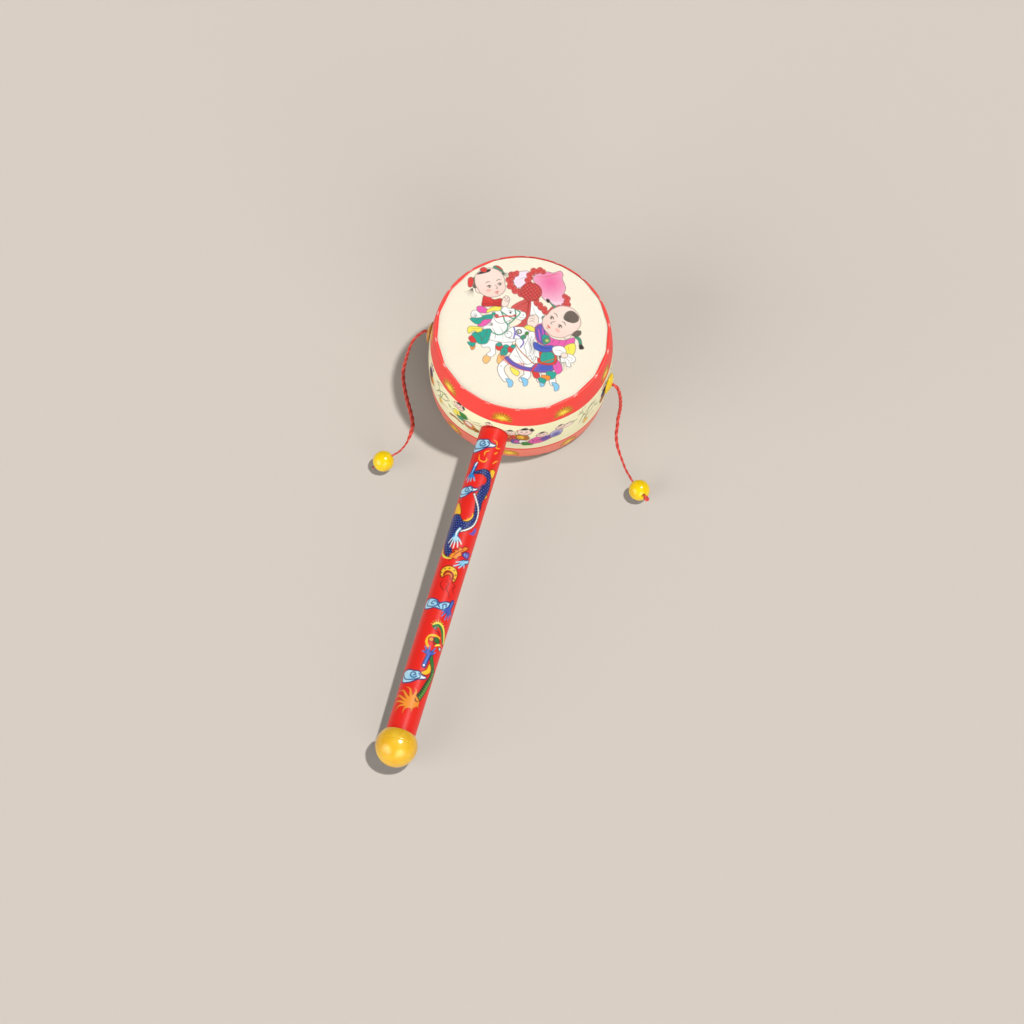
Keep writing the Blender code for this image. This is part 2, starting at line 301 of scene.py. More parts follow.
# The plugs' axes: square to the stick at the left (-1), a little off it at the right (1)
plugLine = {
    "turn": {-1: 0.0, 1: -4.5},      # degrees about the drum's axis
    "rise": {-1: 0.0, 1: 0.0025},    # over half height
    "mouth": 0.0406,                 # from the drum's axis to each plug's top
}


def onPlugLine(side, out, across=0.0, up=0.0):
    # points at a distance out along one side's plug axis, turned by its angle
    turn = math.radians(plugLine["turn"][side])
    out, across, up = np.broadcast_arrays(side * np.asarray(out, float), across, up)
    return fromDrum(np.stack((out * math.cos(turn) - across * math.sin(turn),
                              out * math.sin(turn) + across * math.cos(turn),
                              up + plugLine["rise"][side]), axis=-1))


# Cords: a two-ply twist along a smooth line, from the plug over the table to the knot
cords = {
    "diameter": 0.0014,
    "gap": 0.0003,
    "inPlug": 0.0015,        # how far each cord starts inside its plug
    "beadRadius": 0.0044,
    "pitch": 0.0068,         # one turn of a ply
    "plyOff": 0.3,           # shares of the cord's radius: a ply's middle from the cord's,
    "plyRadius": 0.7,        # and its own radius
    "lift": 0.00006,         # least height of the cord's underside
    "around": 20,
    "step": 0.00016,
    "left": {
        "side": -1,
        "bead": (-0.0428, 0.0225),
        "way": (-0.76, -0.65, -0.466),    # of the bead's bore, to the knot
        "knot": 0.0005,
        "knotRadius": 0.0007,
        "thick": ((0.0, 0.84), (0.018, 0.90), (0.024, 1.12), (0.036, 1.24), (0.052, 1.34),
                  (0.0595, 1.28), (0.0625, 0.74), (0.068, 0.60), (0.09, 0.60)),
        "route": (
            (-0.0429, 0.0769, 0.0224), (-0.0449, 0.0758, 0.0196), (-0.0463, 0.0746, 0.0155),
            (-0.0470, 0.0735, 0.0110), (-0.0475, 0.0723, 0.0063), (-0.0476, 0.0700, 0.0015),
            (-0.0463, 0.0656, 0.0008), (-0.0441, 0.0606, 0.0008), (-0.0413, 0.0552, 0.0008),
            (-0.0386, 0.0504, 0.0008), (-0.0366, 0.0458, 0.0008), (-0.0361, 0.0415, 0.0008),
            (-0.0362, 0.0389, 0.0011), (-0.0364, 0.0354, 0.0019), (-0.0371, 0.0318, 0.0031),
            (-0.0380, 0.0286, 0.0045)),
    },
    "right": {
        "side": 1,
        "bead": (0.0626, 0.0412),
        "way": (0.68, -0.73, 0.324),
        "knot": 0.0026,
        "knotRadius": 0.00115,
        "thick": ((0.0, 1.08), (0.03, 1.12), (0.042, 1.04), (0.047, 0.78), (0.07, 0.64)),
        "route": (
            (0.0428, 0.0746, 0.0236), (0.0440, 0.0748, 0.0195), (0.0447, 0.0753, 0.0140),
            (0.0450, 0.0759, 0.0080), (0.0449, 0.0758, 0.0033), (0.0450, 0.0742, 0.0012),
            (0.0456, 0.0712, 0.0008), (0.0463, 0.0667, 0.0008), (0.0479, 0.0622, 0.0008),
            (0.0500, 0.0583, 0.0008), (0.0523, 0.0546, 0.0009), (0.0548, 0.0506, 0.0015),
            (0.0573, 0.0473, 0.0024)),
    },
}


def smoothLine(points, steps=20, closed=False):
    # a Catmull-Rom curve: on each span the cubic that passes through its ends, with
    # slopes of half the way from the point before to the point after
    points = np.asarray(points, float)
    if closed:
        spans = [np.roll(points, shift, axis=0) for shift in (1, 0, -1, -2)]
    else:
        ends = np.vstack((2 * points[0] - points[1], points, 2 * points[-1] - points[-2]))
        spans = [ends[k:len(ends) - 3 + k] for k in range(4)]
    before, start, end, after = (span[:, None, :] for span in spans)
    t = (np.arange(steps) / steps)[None, :, None]
    line = 0.5 * (2 * start + (end - before) * t
                  + (2 * before - 5 * start + 4 * end - after) * t ** 2
                  + (3 * start - before - 3 * end + after) * t ** 3)
    line = line.reshape(-1, points.shape[1])
    return line if closed else np.vstack((line, points[-1:]))


def walkedAlong(line):
    # the distance along a line up to each of its points
    return np.concatenate(([0], np.cumsum(np.linalg.norm(np.diff(line, axis=0), axis=1))))


def evenLine(line, step):
    # the same line with points at equal distances along it
    walked = walkedAlong(line)
    count = max(int(round(walked[-1] / step)), 2)
    places = np.linspace(0, walked[-1], count + 1)
    return np.stack([np.interp(places, walked, line[:, k]) for k in range(3)], axis=-1), places


def acrossLine(line):
    # two directions across the line at each point, made by taking one fixed direction's
    # part across the line, so they don't turn about it
    fixed = (0.31, 0.17, 0.93)
    along = unit(np.gradient(line, axis=0))
    side = unit(np.cross(along, fixed))
    return side, np.cross(along, side)


def rope(line, places, radii, c):
    # two round plies side by side: seen from the middle the surface is at
    # a|cos p| + sqrt(b^2 - a^2 sin^2 p), turned by one turn each pitch along the line
    side, over = acrossLine(line)
    angle = np.arange(c["around"]) / c["around"] * math.tau
    p = angle[None, :] - (places / c["pitch"] * math.tau)[:, None]
    a, b = c["plyOff"], c["plyRadius"]
    deep = math.sqrt(b ** 2 - a ** 2)
    share = a * np.abs(np.cos(p)) + np.sqrt(b ** 2 - (a * np.sin(p)) ** 2)
    out = share * radii[:, None]
    points = (line[:, None, :] + (out * np.cos(angle))[..., None] * side[:, None, :]
              + (out * np.sin(angle))[..., None] * over[:, None, :])
    points, faces = cappedRings(points, len(line), c["around"], line[0], line[-1])
    return points, faces, asTwist((share - deep) / (1 - deep), places[:, None], angle, p)


def cordLine(one, c):
    # inside the plug, out of it, along the route, and through the bead's bore
    mouth, radius = plugLine["mouth"], c["diameter"] / 2
    start = onPlugLine(one["side"], (mouth - c["inPlug"], mouth + radius))
    centre = np.array((*one["bead"], c["beadRadius"]))
    along = unit(one["way"])
    far = math.sqrt(c["beadRadius"] ** 2 - (radius + c["gap"]) ** 2) + c["gap"]
    through = [centre - along * c["beadRadius"], centre, centre + along * far]
    return evenLine(smoothLine(np.vstack((start, one["route"], through))), c["step"])


def cordFinish():
    # painted shade between the plies and the cord's own red on them, with painted highlights
    # on fibres that wind along
    f = Finish("redCord", Roughness=0.72, Specular_IOR_Level=0.3)
    drawnOut = f.stretched(f.attribute("wound", "Vector"), by=(1.2, 5.0, 22.0))
    fibres = f.noise(drawnOut, scale=3.0, detail=3.0, roughness=0.6)
    ply = f.spread(f.attribute("groove", "Fac"), 0.25, 0.95)
    # painted shade: darker red deep in the grooves, set by how high on its ply each point is
    tone = f.mix(ply, shade((176, 20, 26)), shade((248, 82, 70)))
    # painted highlight: a pale red over the fibres' lighter streaks
    lit = f.mix(f.spread(fibres, 0.35, 0.75), tone, shade((255, 134, 116)))
    f.feed(Base_Color=f.mix(0.5, tone, lit), Normal=f.bump(fibres, 0.35, 0.0001))
    return f.material


def makeCord(name, one, c, finish):
    # the rope on its route, as thick as is given along it and never under the table
    line, places = cordLine(one, c)
    radii = np.interp(places, *zip(*one["thick"])) * c["diameter"] / 2
    line[:, 2] = np.maximum(line[:, 2], radii + c["lift"])
    points, faces, twist = rope(line, places, radii, c)
    piece = addPiece(name + "_twisted_cord", points, faces, finish, "red_cord",
                     [name + "_cord"], twist)
    return piece, line, places[-1]


redCord = cordFinish()
madeCords = {name: makeCord(name, cords[name], cords, redCord) for name in ("left", "right")}


# Knots: the cord's end knotted short and fused to a rounded stub
knots = {
    "start": 0.0006,         # beyond the bead's mouth
    "waist": 0.48,           # shares of the length: the waist's place and width
    "waistWidth": 0.09,
    "waistDepth": 0.14,      # shares of the radius
    "thinning": 0.10,
    "grooveDepth": 0.16,
    "turn": 3.6,             # radians that the plies wind from end to end
    "around": 48,
    "rows": 56,
}


def makeKnot(name, one, c, k, finish):
    # a rounded stub whose radius swells at both turns of the knot and is pressed in
    # between them, with two plies winding round it
    s = np.linspace(0, 1, k["rows"])[:, None]
    ends = np.sqrt(np.clip(1 - np.abs(2 * s - 1) ** 4, 0, 1))
    waist = 1 - k["waistDepth"] * np.exp(-((s - k["waist"]) / k["waistWidth"]) ** 2)
    angle = np.arange(k["around"]) / k["around"] * math.tau
    wind = angle - s * k["turn"]
    ply = 0.5 + 0.5 * np.cos(2 * wind)
    radius = (one["knotRadius"] * ends * (waist - k["thinning"] * s)
              * (1 - k["grooveDepth"] * (1 - ply) ** 2))
    mouth = math.sqrt(c["beadRadius"] ** 2 - (c["diameter"] / 2 + c["gap"]) ** 2)
    height = mouth + k["start"] + s * one["knot"]
    points = np.stack(np.broadcast_arrays(radius * np.cos(angle), radius * np.sin(angle), height),
                      axis=-1)[1:-1]
    points, faces = cappedRings(points, k["rows"] - 2, k["around"], (0, 0, height[0, 0]),
                                (0, 0, height[-1, 0]))
    points = turnedTo(points, (*one["bead"], c["beadRadius"]), one["way"])
    # its finish paints shade between these plies from how high on its ply each point is
    return addPiece(name + "_tied_knot", points, faces, finish, "red_cord", [name + "_knot"],
                    asTwist(ply[1:-1], height[1:-1], angle, wind[1:-1]))


# Turned pieces: an outline of radius and height, carried round an axis
def lathe(outline, around, ring=True):
    # points at angle a of radius r(s) and height h(s); a ring's outline closes on itself,
    # and any other starts and ends on the axis
    outline = np.asarray(outline, float)
    angle = np.arange(around) / around * math.tau
    body = outline if ring else outline[1:-1]
    points = np.stack((body[:, :1] * np.cos(angle), body[:, :1] * np.sin(angle),
                       np.repeat(body[:, 1:2], around, axis=1)), axis=-1).reshape(-1, 3)
    if ring:
        return points, [ringFaces(len(body), around, loop=True)]
    return cappedRings(points, len(body), around, (0, 0, outline[0, 1]), (0, 0, outline[-1, 1]))


def arc(centre, radius, start, end, steps):
    # centre plus radius times cosine and sine, from the start angle to the end angle
    angle = np.linspace(start, end, steps + 1)
    return np.column_stack((centre[0] + radius * np.cos(angle),
                            centre[1] + radius * np.sin(angle)))


# Beads: round, with a bore whose mouths are slightly rounded
beads = {
    "radius": 0.0044,
    "bore": 0.0010,
    "mouth": 0.0003,
    "mouthFall": 0.6,        # share of the mouth's width that it falls
    "around": 96,
    "steps": 72,
    "boreRings": 9,
}


def beadFinish(name, dark, light):
    # cloudy yellow plastic under a thin clear coat, with a faint orange-peel surface
    f = Finish(name, Coat_Weight=0.25, Coat_Roughness=0.08, Subsurface_Weight=0.12,
               Subsurface_Scale=0.004, Subsurface_Radius=(1.0, 0.55, 0.08))
    point = f.objectPoint()
    cloudy = f.noise(point, scale=260.0, detail=3.0, roughness=0.55)
    speck = f.noise(point, scale=2600.0, detail=2.0, roughness=0.6)
    f.feed(Base_Color=f.mix(f.spread(cloudy, 0.3, 0.7), shade(dark), shade(light)),
           Roughness=f.spread(speck, 0.3, 0.7, 0.16, 0.26),
           Normal=f.bump(speck, 0.06, 0.00005))
    return f.material


def makeBead(name, one, b, finish):
    # a half circle from mouth to mouth and the bore's straight line back, turned round
    mouth = math.asin((b["bore"] + b["mouth"]) / b["radius"])
    ball = arc((0, 0), b["radius"], mouth - math.pi / 2, math.pi / 2 - mouth, b["steps"])
    high = b["radius"] * math.cos(mouth) - b["mouth"] * b["mouthFall"]
    rings = np.linspace(high, -high, b["boreRings"])
    bore = np.column_stack((np.full(len(rings), b["bore"]), rings))
    points, faces = lathe(np.vstack((ball, bore)), b["around"])
    points = turnedTo(points, (*one["bead"], b["radius"]), one["way"])
    return addPiece(name + "_ball_bead", points, faces, finish, "yellow_bead",
                    [name + "_bead"], crease=50)


yellowBead = beadFinish("yellowBead", (252, 200, 0), (254, 222, 0))
# painted shade: the left plug's finish is a darker copy of the yellow plastic
plugInPaintedShade = beadFinish("plugInPaintedShade", (176, 104, 20), (232, 166, 40))
for name in ("left", "right"):
    cord, line, length = madeCords[name]
    bead = makeBead(name, cords[name], beads, yellowBead)
    knot = makeKnot(name, cords[name], cords, knots, redCord)
    leaves = onPlugLine(cords[name]["side"], plugLine["mouth"])
    line[::4].tolist() + [line[-1].tolist()]
    print(name, "cord is", round(float(length) * millimetres, 1), "mm long")


# Plugs: low glossy domes on the drum's side, with a shank through the wall
plugs = {
    "radius": 0.0046,
    "height": 0.0019,
    "edge": 0.0006,          # height of the dome's straight edge
    "soft": 0.00015,         # rounding of the corners
    "shankRadius": 0.0021,
    "shank": 0.0052,
    "base": 0.0387,          # from the drum's axis
    "bore": 0.0010,
    "boreFlare": 1.25,
    "flareDepth": 0.0003,
    "around": 96,
    "steps": 40,
}


def makePlug(name, side, p, finish):
    # the dome's arc rises from the rim's height to the plug's height over its radius
    rise = p["height"] - p["edge"]
    dome = (p["radius"] ** 2 + rise ** 2) / (2 * rise)
    slope = math.asin(p["radius"] / dome)
    hole = math.asin(p["bore"] * p["boreFlare"] / dome)
    top = p["base"] + p["height"]
    foot = p["base"] - p["shank"]
    cap = arc((0, top - dome), dome, math.pi / 2 - slope, math.pi / 2 - hole, p["steps"])
    outline = np.vstack(([(p["bore"], foot), (p["shankRadius"] - p["soft"], foot),
                          (p["shankRadius"], foot + p["soft"]), (p["shankRadius"], p["base"]),
                          (p["radius"] - p["soft"], p["base"]),
                          (p["radius"], p["base"] + p["soft"]),
                          (p["radius"], p["base"] + p["edge"] - p["soft"])],
                         cap[1:], [(p["bore"], top - p["flareDepth"])]))
    points, faces = lathe(outline, p["around"])
    points = onPlugLine(side, points[:, 2], points[:, 0], points[:, 1])
    return addPiece(name + "_domed_plug", points, faces, finish, "yellow_plug",
                    [name + "_cord_plug"], crease=40)


# the left plug gets the darker copy as painted shade, the right one the plain yellow
makePlug("left", -1, plugs, plugInPaintedShade)
makePlug("right", 1, plugs, yellowBead)


# Knob: pearly golden ball cap with a thin light collar, a cone shoulder and a parting line
knob = {
    "radius": 0.0085,
    "distance": 0.1862,      # of the ball's middle from the drum's axis
    "collarRadius": 0.00685,
    "collar": 0.0005,        # its height
    "wall": 0.00045,
    "soft": 0.00012,         # rounding of the collar's edge, along it and across it
    "softWidth": 0.0001,
    "socket": 0.0045,
    "socketSoft": 0.0004,
    "shoulderSwell": 0.92,   # powers of the shoulder's curve, across and along it
    "shoulderRise": 1.15,
    "shoulderRings": 25,
    "seamDepth": 0.00010,
    "seamWidth": 0.00035,
    "around": 144,
    "steps": 60,
}


def knobFinish():
    # gold in pearly clouds drawn out along the stick, with pale flakes
    f = Finish("goldenKnob", Metallic=0.05, Coat_Weight=0.4, Coat_Roughness=0.24)
    point = f.objectPoint()
    pearl = f.noise(f.stretched(point, by=(1.0, 0.45, 1.0)), scale=190.0, detail=4.0,
                    roughness=0.6)
    flake = f.noise(point, scale=4200.0, detail=1.0, roughness=0.5)
    gold = f.node("ShaderNodeValToRGB", {"stops": ((0.30, shade((230, 168, 16))),
                                                   (0.50, shade((242, 186, 30))),
                                                   (0.72, shade((250, 202, 56))))}, {0: pearl})
    f.feed(Base_Color=f.mix(f.spread(flake, 0.55, 0.75, 0.0, 0.35), gold,
                            shade((254, 218, 96))),
           Roughness=f.spread(pearl, 0.3, 0.7, 0.34, 0.22),
           Normal=f.bump(flake, 0.05, 0.00005))
    return f.material


def collarDrop(k):
    # how far below the ball's middle its surface is as narrow as the collar
    return math.sqrt(k["radius"] ** 2 - k["collarRadius"] ** 2)


def makeKnob(k, finish):
    # a ball below the seam, and above it a shoulder whose radius grows as a power of a
    # sine while its height grows as a power, which runs in to the collar
    foot, collar = -collarDrop(k), k["collarRadius"]
    inner = collar - k["wall"]
    floor = foot + k["socket"]
    s = np.linspace(0, 1, k["shoulderRings"] + 1)[1:]
    swell = np.sin(s * math.pi / 2) ** k["shoulderSwell"]
    shoulder = np.column_stack((collar + (k["radius"] - collar) * swell,
                                foot - (foot + k["seamWidth"] / 2) * s ** k["shoulderRise"]))
    ball = arc((0, 0), k["radius"], k["seamWidth"] / 2 / k["radius"], math.pi / 2, k["steps"])
    outline = np.vstack(([(0, floor), (inner - k["socketSoft"], floor),
                          (inner, floor - k["socketSoft"]), (inner, foot + k["soft"]),
                          (inner + k["softWidth"], foot), (collar - k["softWidth"], foot),
                          (collar, foot + k["soft"]), (collar, foot + k["collar"])],
                         shoulder, [(k["radius"] - k["seamDepth"], 0.0)], ball))
    points, faces = lathe(outline, k["around"], ring=False)
    points = fromDrum(np.column_stack((points[:, 0], -k["distance"] - points[:, 2],
                                       points[:, 1])))
    return addPiece("golden_ball_knob", points, faces, finish, "golden_knob", ["end_knob"],
                    crease=45)


makeKnob(knob, knobFinish())


# Drum: hoop, printed side and both heads
drum = {
    "height": 0.0415,
    "midRadius": 0.0384,
    "bulge": 0.0017,
    "fold": 0.0008,
    "paper": 0.0004,
    "paperSoft": 0.00008,
    "lipSides": 18,
    "lipWidth": 0.00175,
    "lipTurn": 2.2,          # degrees from the stick to the middle of the nearest lip side
    "lipSlim": 0.0010,       # narrower at the stick and at the back
    "lipStart": 0.0002,      # out of the fold's middle, where the straight sides begin
    "pleatDepth": 0.00022,   # of the paper at each crease
    "pleatWidth": 0.0007,
    "pleatHeight": 0.0016,
    "waveDepth": 0.00004,
    "waves": ((1.0, 7, 1.3), (0.6, 13, 0.4)),     # each one's size, count and start
    "gap": 0.0003,
    "headThickness": 0.0006,
    "headSoft": 0.0001,
    "headWave": 0.00006,
    "around": 684,
    "rows": 108,
    "headSteps": 300,
    "lowerHeadSteps": 180,
    "pictureTurn": 12.5,     # degrees from +X that the head's picture is turned
}
halfHeight = drum["height"] / 2
foldHeight = halfHeight - drum["fold"]
barrelArc = (foldHeight ** 2 + drum["bulge"] ** 2) / (2 * drum["bulge"])
foldAngle = math.asin(foldHeight / (1 - drum["fold"] / barrelArc) / barrelArc)
foldRadius = (drum["midRadius"] - barrelArc
              + (barrelArc - drum["fold"]) * math.cos(foldAngle))
lipRadius = drum["midRadius"] - drum["bulge"] - drum["lipWidth"]
headTop = halfHeight - drum["paper"] - drum["gap"]


def paperFinish(name, roughness, shine, grain, grainSize):
    # printed paper: the print's colours, made a little uneven, over a fine grain
    f = Finish(name, Specular_IOR_Level=shine)
    point = f.objectPoint()
    fibre = f.noise(point, scale=1.0 / grainSize, detail=4.0, roughness=0.65)
    cloud = f.noise(point, scale=120.0, detail=3.0, roughness=0.5)
    tone = (f.spread(fibre, 0.3, 0.7, 1 - grain, 1 + grain * 0.4)
            * f.spread(cloud, 0.3, 0.7, 0.985, 1.01))
    grey = f.node("ShaderNodeCombineColor", {}, {0: tone, 1: tone, 2: tone})
    f.feed(Base_Color=f.mix(1.0, f.attribute("paint"), grey, "MULTIPLY"),
           Roughness=f.spread(fibre, 0.3, 0.7, roughness - 0.06, roughness + 0.08),
           Normal=f.bump(fibre, 0.25, 0.00008))
    return f.material


def woodFinish(name, light, dark):
    # grain drawn out along the hoop's height
    f = Finish(name, Roughness=0.6)
    grain = f.noise(f.stretched(f.objectPoint(), by=(1.0, 1.0, 0.12)), scale=900.0,
                    detail=4.0, roughness=0.6)
    f.feed(Base_Color=f.mix(f.spread(grain, 0.3, 0.7), shade(dark), shade(light)),
           Normal=f.bump(grain, 0.3, 0.0001))
    return f.material


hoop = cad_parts["drum_hoop"]
hoop.data.materials.clear()
hoop.data.materials.append(woodFinish("hoopWood", (222, 184, 134), (178, 132, 84)))


def makeSide(d, paint, finish):
    # height rows up the bulging side, round both folds and in to the lip's straight
    # sides, then back along the paper's inner face
    angle = np.arange(d["around"]) / d["around"] * math.tau - math.pi / 2
    middle = (d["midRadius"] - barrelArc, 0)
    barrel = arc(middle, barrelArc, -foldAngle, foldAngle, d["rows"])
    fold = arc((foldRadius, foldHeight), d["fold"], foldAngle, math.pi / 2, 6)[1:]
    lip = [(lipRadius + share * (foldRadius - lipRadius), halfHeight) for share in (0.66, 0.33)]
    lipEnd = [(lipRadius, halfHeight - d["paperSoft"]), (lipRadius, halfHeight - d["paper"])]
    foldIn = arc((foldRadius, foldHeight), d["fold"] - d["paper"], math.pi / 2, foldAngle, 3)
    inside = arc(middle, barrelArc - d["paper"], foldAngle, -foldAngle, 6)[1:-1]
    upper = np.vstack((fold, lip, lipEnd, foldIn))
    outline = np.vstack((barrel, upper, inside, upper[::-1] * (1, -1)))
    # length along the paper from half height: the print runs on over the fold and lip
    folded = len(fold) + len(lip) + 1
    walked = walkedAlong(np.vstack((barrel, upper[:folded])))
    walked -= walked[d["rows"] // 2]
    along = np.full(len(outline), walked[-1])
    along[:len(walked)] = walked
    along[-folded:] = -walked[len(barrel):][::-1]
    # the lip's edge runs straight between corners: 1 / cos of the angle off a side's middle
    radius, height = (np.repeat(outline[:, k:k + 1], d["around"], axis=1) for k in (0, 1))
    sideAngle = math.tau / d["lipSides"]
    start = math.radians(d["lipTurn"] - 90) - sideAngle / 2
    offSide = (angle - start) % sideAngle - sideAngle / 2
    lipStart = foldRadius + d["lipStart"]
    inLip = np.clip((lipStart - radius) / (lipStart - lipRadius), 0, 1)
    nearLip = (np.abs(height) > halfHeight - d["paper"] * 1.1) & (radius < foldRadius + 1e-6)
    wider = (1 / np.cos(offSide) - 1) * lipRadius + d["lipSlim"] * np.sin(angle) ** 2
    radius = np.where(nearLip, radius + wider * inLip, radius)
    # paper pulled round the wood: a soft pleat at each crease and slow waves between
    offCrease = (np.abs(offSide) - sideAngle / 2) * d["midRadius"]
    pleat = np.exp(-(offCrease / d["pleatWidth"]) ** 2) * np.exp(
        -((np.abs(height) - foldHeight) / d["pleatHeight"]) ** 2)
    waves = sum(size * np.sin(count * angle + first) for size, count, first in d["waves"])
    radius = (radius - d["pleatDepth"] * pleat
              - d["waveDepth"] * waves * (np.abs(height) < foldHeight))
    points = np.stack((radius * np.cos(angle), radius * np.sin(angle), height), axis=-1)
    u, v = np.broadcast_arrays(angle * d["midRadius"], along[:, None])
    colours = paint(np.column_stack((u.ravel(), v.ravel())) * millimetres)
    faces = [ringFaces(len(outline), d["around"], loop=True)]
    return addPiece("printed_side", fromDrum(points.reshape(-1, 3)), faces, finish,
                    "printed_side_paper", ["side_wrap"], asPaint(colours), crease=60)


def squareDisc(steps):
    # a square grid bent to a disc of the same evenness: each square ring at distance r
    # from the middle becomes a circle of radius r, its points spread by angle
    a, b = np.meshgrid(np.linspace(-1, 1, steps), np.linspace(-1, 1, steps), indexing="ij")
    wide = np.abs(a) > np.abs(b)
    safeA, safeB = np.where(a == 0, 1, a), np.where(b == 0, 1, b)
    radius = np.where(wide, a, b)
    turn = np.where(wide, math.pi / 4 * b / safeA, math.pi / 2 - math.pi / 4 * a / safeB)
    turn = np.where(radius == 0, 0, turn)
    return np.stack((radius * np.cos(turn), radius * np.sin(turn)), axis=-1).reshape(-1, 2)


def makeHead(name, side, steps, d, paint, finish, slot):
    # a disc grid on top, then rings down its edge and in along the underside to the middle
    flat = squareDisc(steps)
    number = np.arange(steps * steps).reshape(steps, steps)
    rim = np.concatenate((number[:-1, 0], number[-1, :-1], number[:0:-1, -1],
                          number[0, :0:-1]))
    top = np.column_stack((flat * foldRadius, np.full(len(flat), headTop)))
    swell = 1 - (flat ** 2).sum(axis=1)
    top[:, 2] += d["headWave"] * np.sin(flat[:, 0] * 9 + 1) * np.sin(flat[:, 1] * 7) * swell
    grid = np.stack((number[:-1, :-1], number[1:, :-1], number[1:, 1:], number[:-1, 1:]),
                    axis=-1).reshape(-1, 4)
    soft, thick = d["headSoft"], d["headThickness"]
    wider = 1 + soft / foldRadius
    rings = [(wider, -soft), (wider, soft - thick), (1, -thick), (0.6, -thick)]
    points = [top]
    faces = [grid]
    last = rim
    first = len(top)
    for share, drop in rings:
        points.append(top[rim] * (share, share, 0) + (0, 0, headTop + drop))
        now = np.arange(first, first + len(rim))
        faces.append(np.stack((last, np.roll(last, -1), np.roll(now, -1), now), axis=-1))
        last = now
        first += len(rim)
    faces.append(fanFaces(last, first))
    points = np.vstack((*points, (0, 0, headTop - thick)))
    turn = math.radians(d["pictureTurn"])
    u = points[:, 0] * math.cos(turn) + points[:, 1] * math.sin(turn)
    v = -points[:, 0] * math.sin(turn) + points[:, 1] * math.cos(turn)
    colours = paint(np.column_stack((u, v)) * millimetres)
    node = "upper_head" if side > 0 else "lower_head"
    return addPiece(name, fromDrum(points * (1, 1, side)), faces, finish, slot, [node],
                    asPaint(colours), crease=50)


# Stick: round, in printed paper whose edges lap on its underside
stick = {
    "radius": 0.0061,
    "taper": 0.0001,         # slimmer by this at the drum
    "lean": 0.0007,          # farther left by this at the drum
    "edge": 0.0005,
    "inside": 0.0040,        # length inside the hoop's wall
    "hoopWall": 0.0028,
    "seam": 0.00012,         # height of the lap
    "seamStep": 0.0002,
    "seamFrom": 2.2,         # radians round from the top
    "seamTo": 2.9,
    "around": 150,
    "rows": 590,
}


def makeStick(d, s, k, paint, finish):
    # a round bar from inside the hoop to inside the knob, with a lapped paper seam below;
    # it is slimmer at the drum, and runs off to the left there, both in straight lines
    hoopTop = headTop - d["headThickness"] - d["gap"]
    inset = barrelArc - d["paper"] - d["gap"]
    bore = d["midRadius"] - barrelArc + math.sqrt(inset ** 2 - hoopTop ** 2) - s["hoopWall"]
    start = bore - s["inside"]
    end = k["distance"] - collarDrop(k) + k["socket"] - d["gap"]
    shown = np.linspace(start + s["edge"], end - s["edge"], s["rows"])
    body = np.column_stack((np.full(len(shown), s["radius"]), shown))
    small = s["radius"] - s["edge"]
    outline = np.vstack(([(0, start), (small, start)], body, [(small, end), (0, end)]))
    points, faces = lathe(outline, s["around"], ring=False)
    angle = np.arctan2(points[:, 0], points[:, 1])
    colours = paint(np.column_stack((angle * s["radius"], points[:, 2])) * millimetres)
    lap = np.clip((angle - s["seamFrom"]) * s["radius"] / s["seamStep"], 0, 1) * np.clip(
        (s["seamTo"] - angle) / (s["seamTo"] - s["seamFrom"]), 0, 1)
    near = np.clip((end - points[:, 2]) / (end - d["midRadius"]), 0, 1)
    out = (1 + s["seam"] / s["radius"] * lap) * (1 - s["taper"] / s["radius"] * near)
    points = fromDrum(np.column_stack((points[:, 0] * out - s["lean"] * near, -points[:, 2],
                                       points[:, 1] * out)))
    return addPiece("printed_stick", points, faces, finish, "printed_stick", ["handle"],
                    asPaint(colours), crease=35)


# Prints: each one is painted over point by point, in millimetres on its flat sheet
inks = {
    "cream": (251, 239, 216),
    "sideCream": (255, 250, 208),
    "coral": (254, 72, 64),
    # the lower band's salmon print, made lighter as painted reflection of the floor
    "salmon": (252, 138, 120),
    "nick": (255, 206, 198),
    "fold": (255, 120, 112),
    # painted highlight along the rounded fold of the side paper
    "edge": (96, 82, 76),
    "black": (52, 44, 42),
    "hair": (112, 98, 86),
    "skin": (253, 228, 214),
    "blush": (247, 190, 176),
    "white": (255, 253, 248),
    "grey": (196, 190, 184),
    "red": (236, 42, 32),
    "scarlet": (226, 62, 56),
    "brick": (216, 88, 84),
    "dark": (158, 30, 28),
    "peach": (242, 112, 164),
    "pale": (252, 212, 226),
    "pink": (238, 96, 176),
    "lilac": (250, 230, 242),
    "teal": (38, 168, 148),
    "green": (70, 152, 118),
    "leaf": (58, 142, 52),
    "yellow": (252, 236, 92),
    "gold": (254, 198, 50),
    "orange": (246, 150, 52),
    "ochre": (186, 112, 24),
    "purple": (114, 92, 184),
    "blue": (76, 96, 190),
    "navy": (34, 40, 104),
    "pine": (52, 124, 58),
    "lime": (140, 176, 70),
    "scale": (104, 132, 214),
    "azure": (48, 140, 214),
    "apricot": (255, 196, 120),
    "sky": (140, 206, 242),
    "ice": (186, 230, 248),
}


def lineDistance(points, line):
    # distance from each point to the nearest place on a line of straight parts, and how
    # far along the line that is, from 0 to 1
    start, step = line[:-1], np.diff(line, axis=0)
    offset = points[:, None, :] - start[None]
    share = np.clip((offset * step).sum(axis=2) / np.maximum((step ** 2).sum(axis=1), 1e-12),
                    0, 1)
    gap = np.hypot(*np.moveaxis(offset - share[..., None] * step, 2, 0))
    nearest = gap.argmin(axis=1)
    row = np.arange(len(points))
    return gap[row, nearest], (nearest + share[row, nearest]) / len(step)


def insideOf(points, outline):
    # whether a ray to the right of each point crosses the outline an odd number of times
    ax, ay = outline.T
    bx, by = np.roll(outline, -1, axis=0).T
    x, y = points[:, :1], points[:, 1:]
    crossed = (ay > y) != (by > y)
    at = ax + (y - ay) * (bx - ax) / np.where(by == ay, 1e-9, by - ay)
    return (crossed & (x < at)).sum(axis=1) % 2 == 1


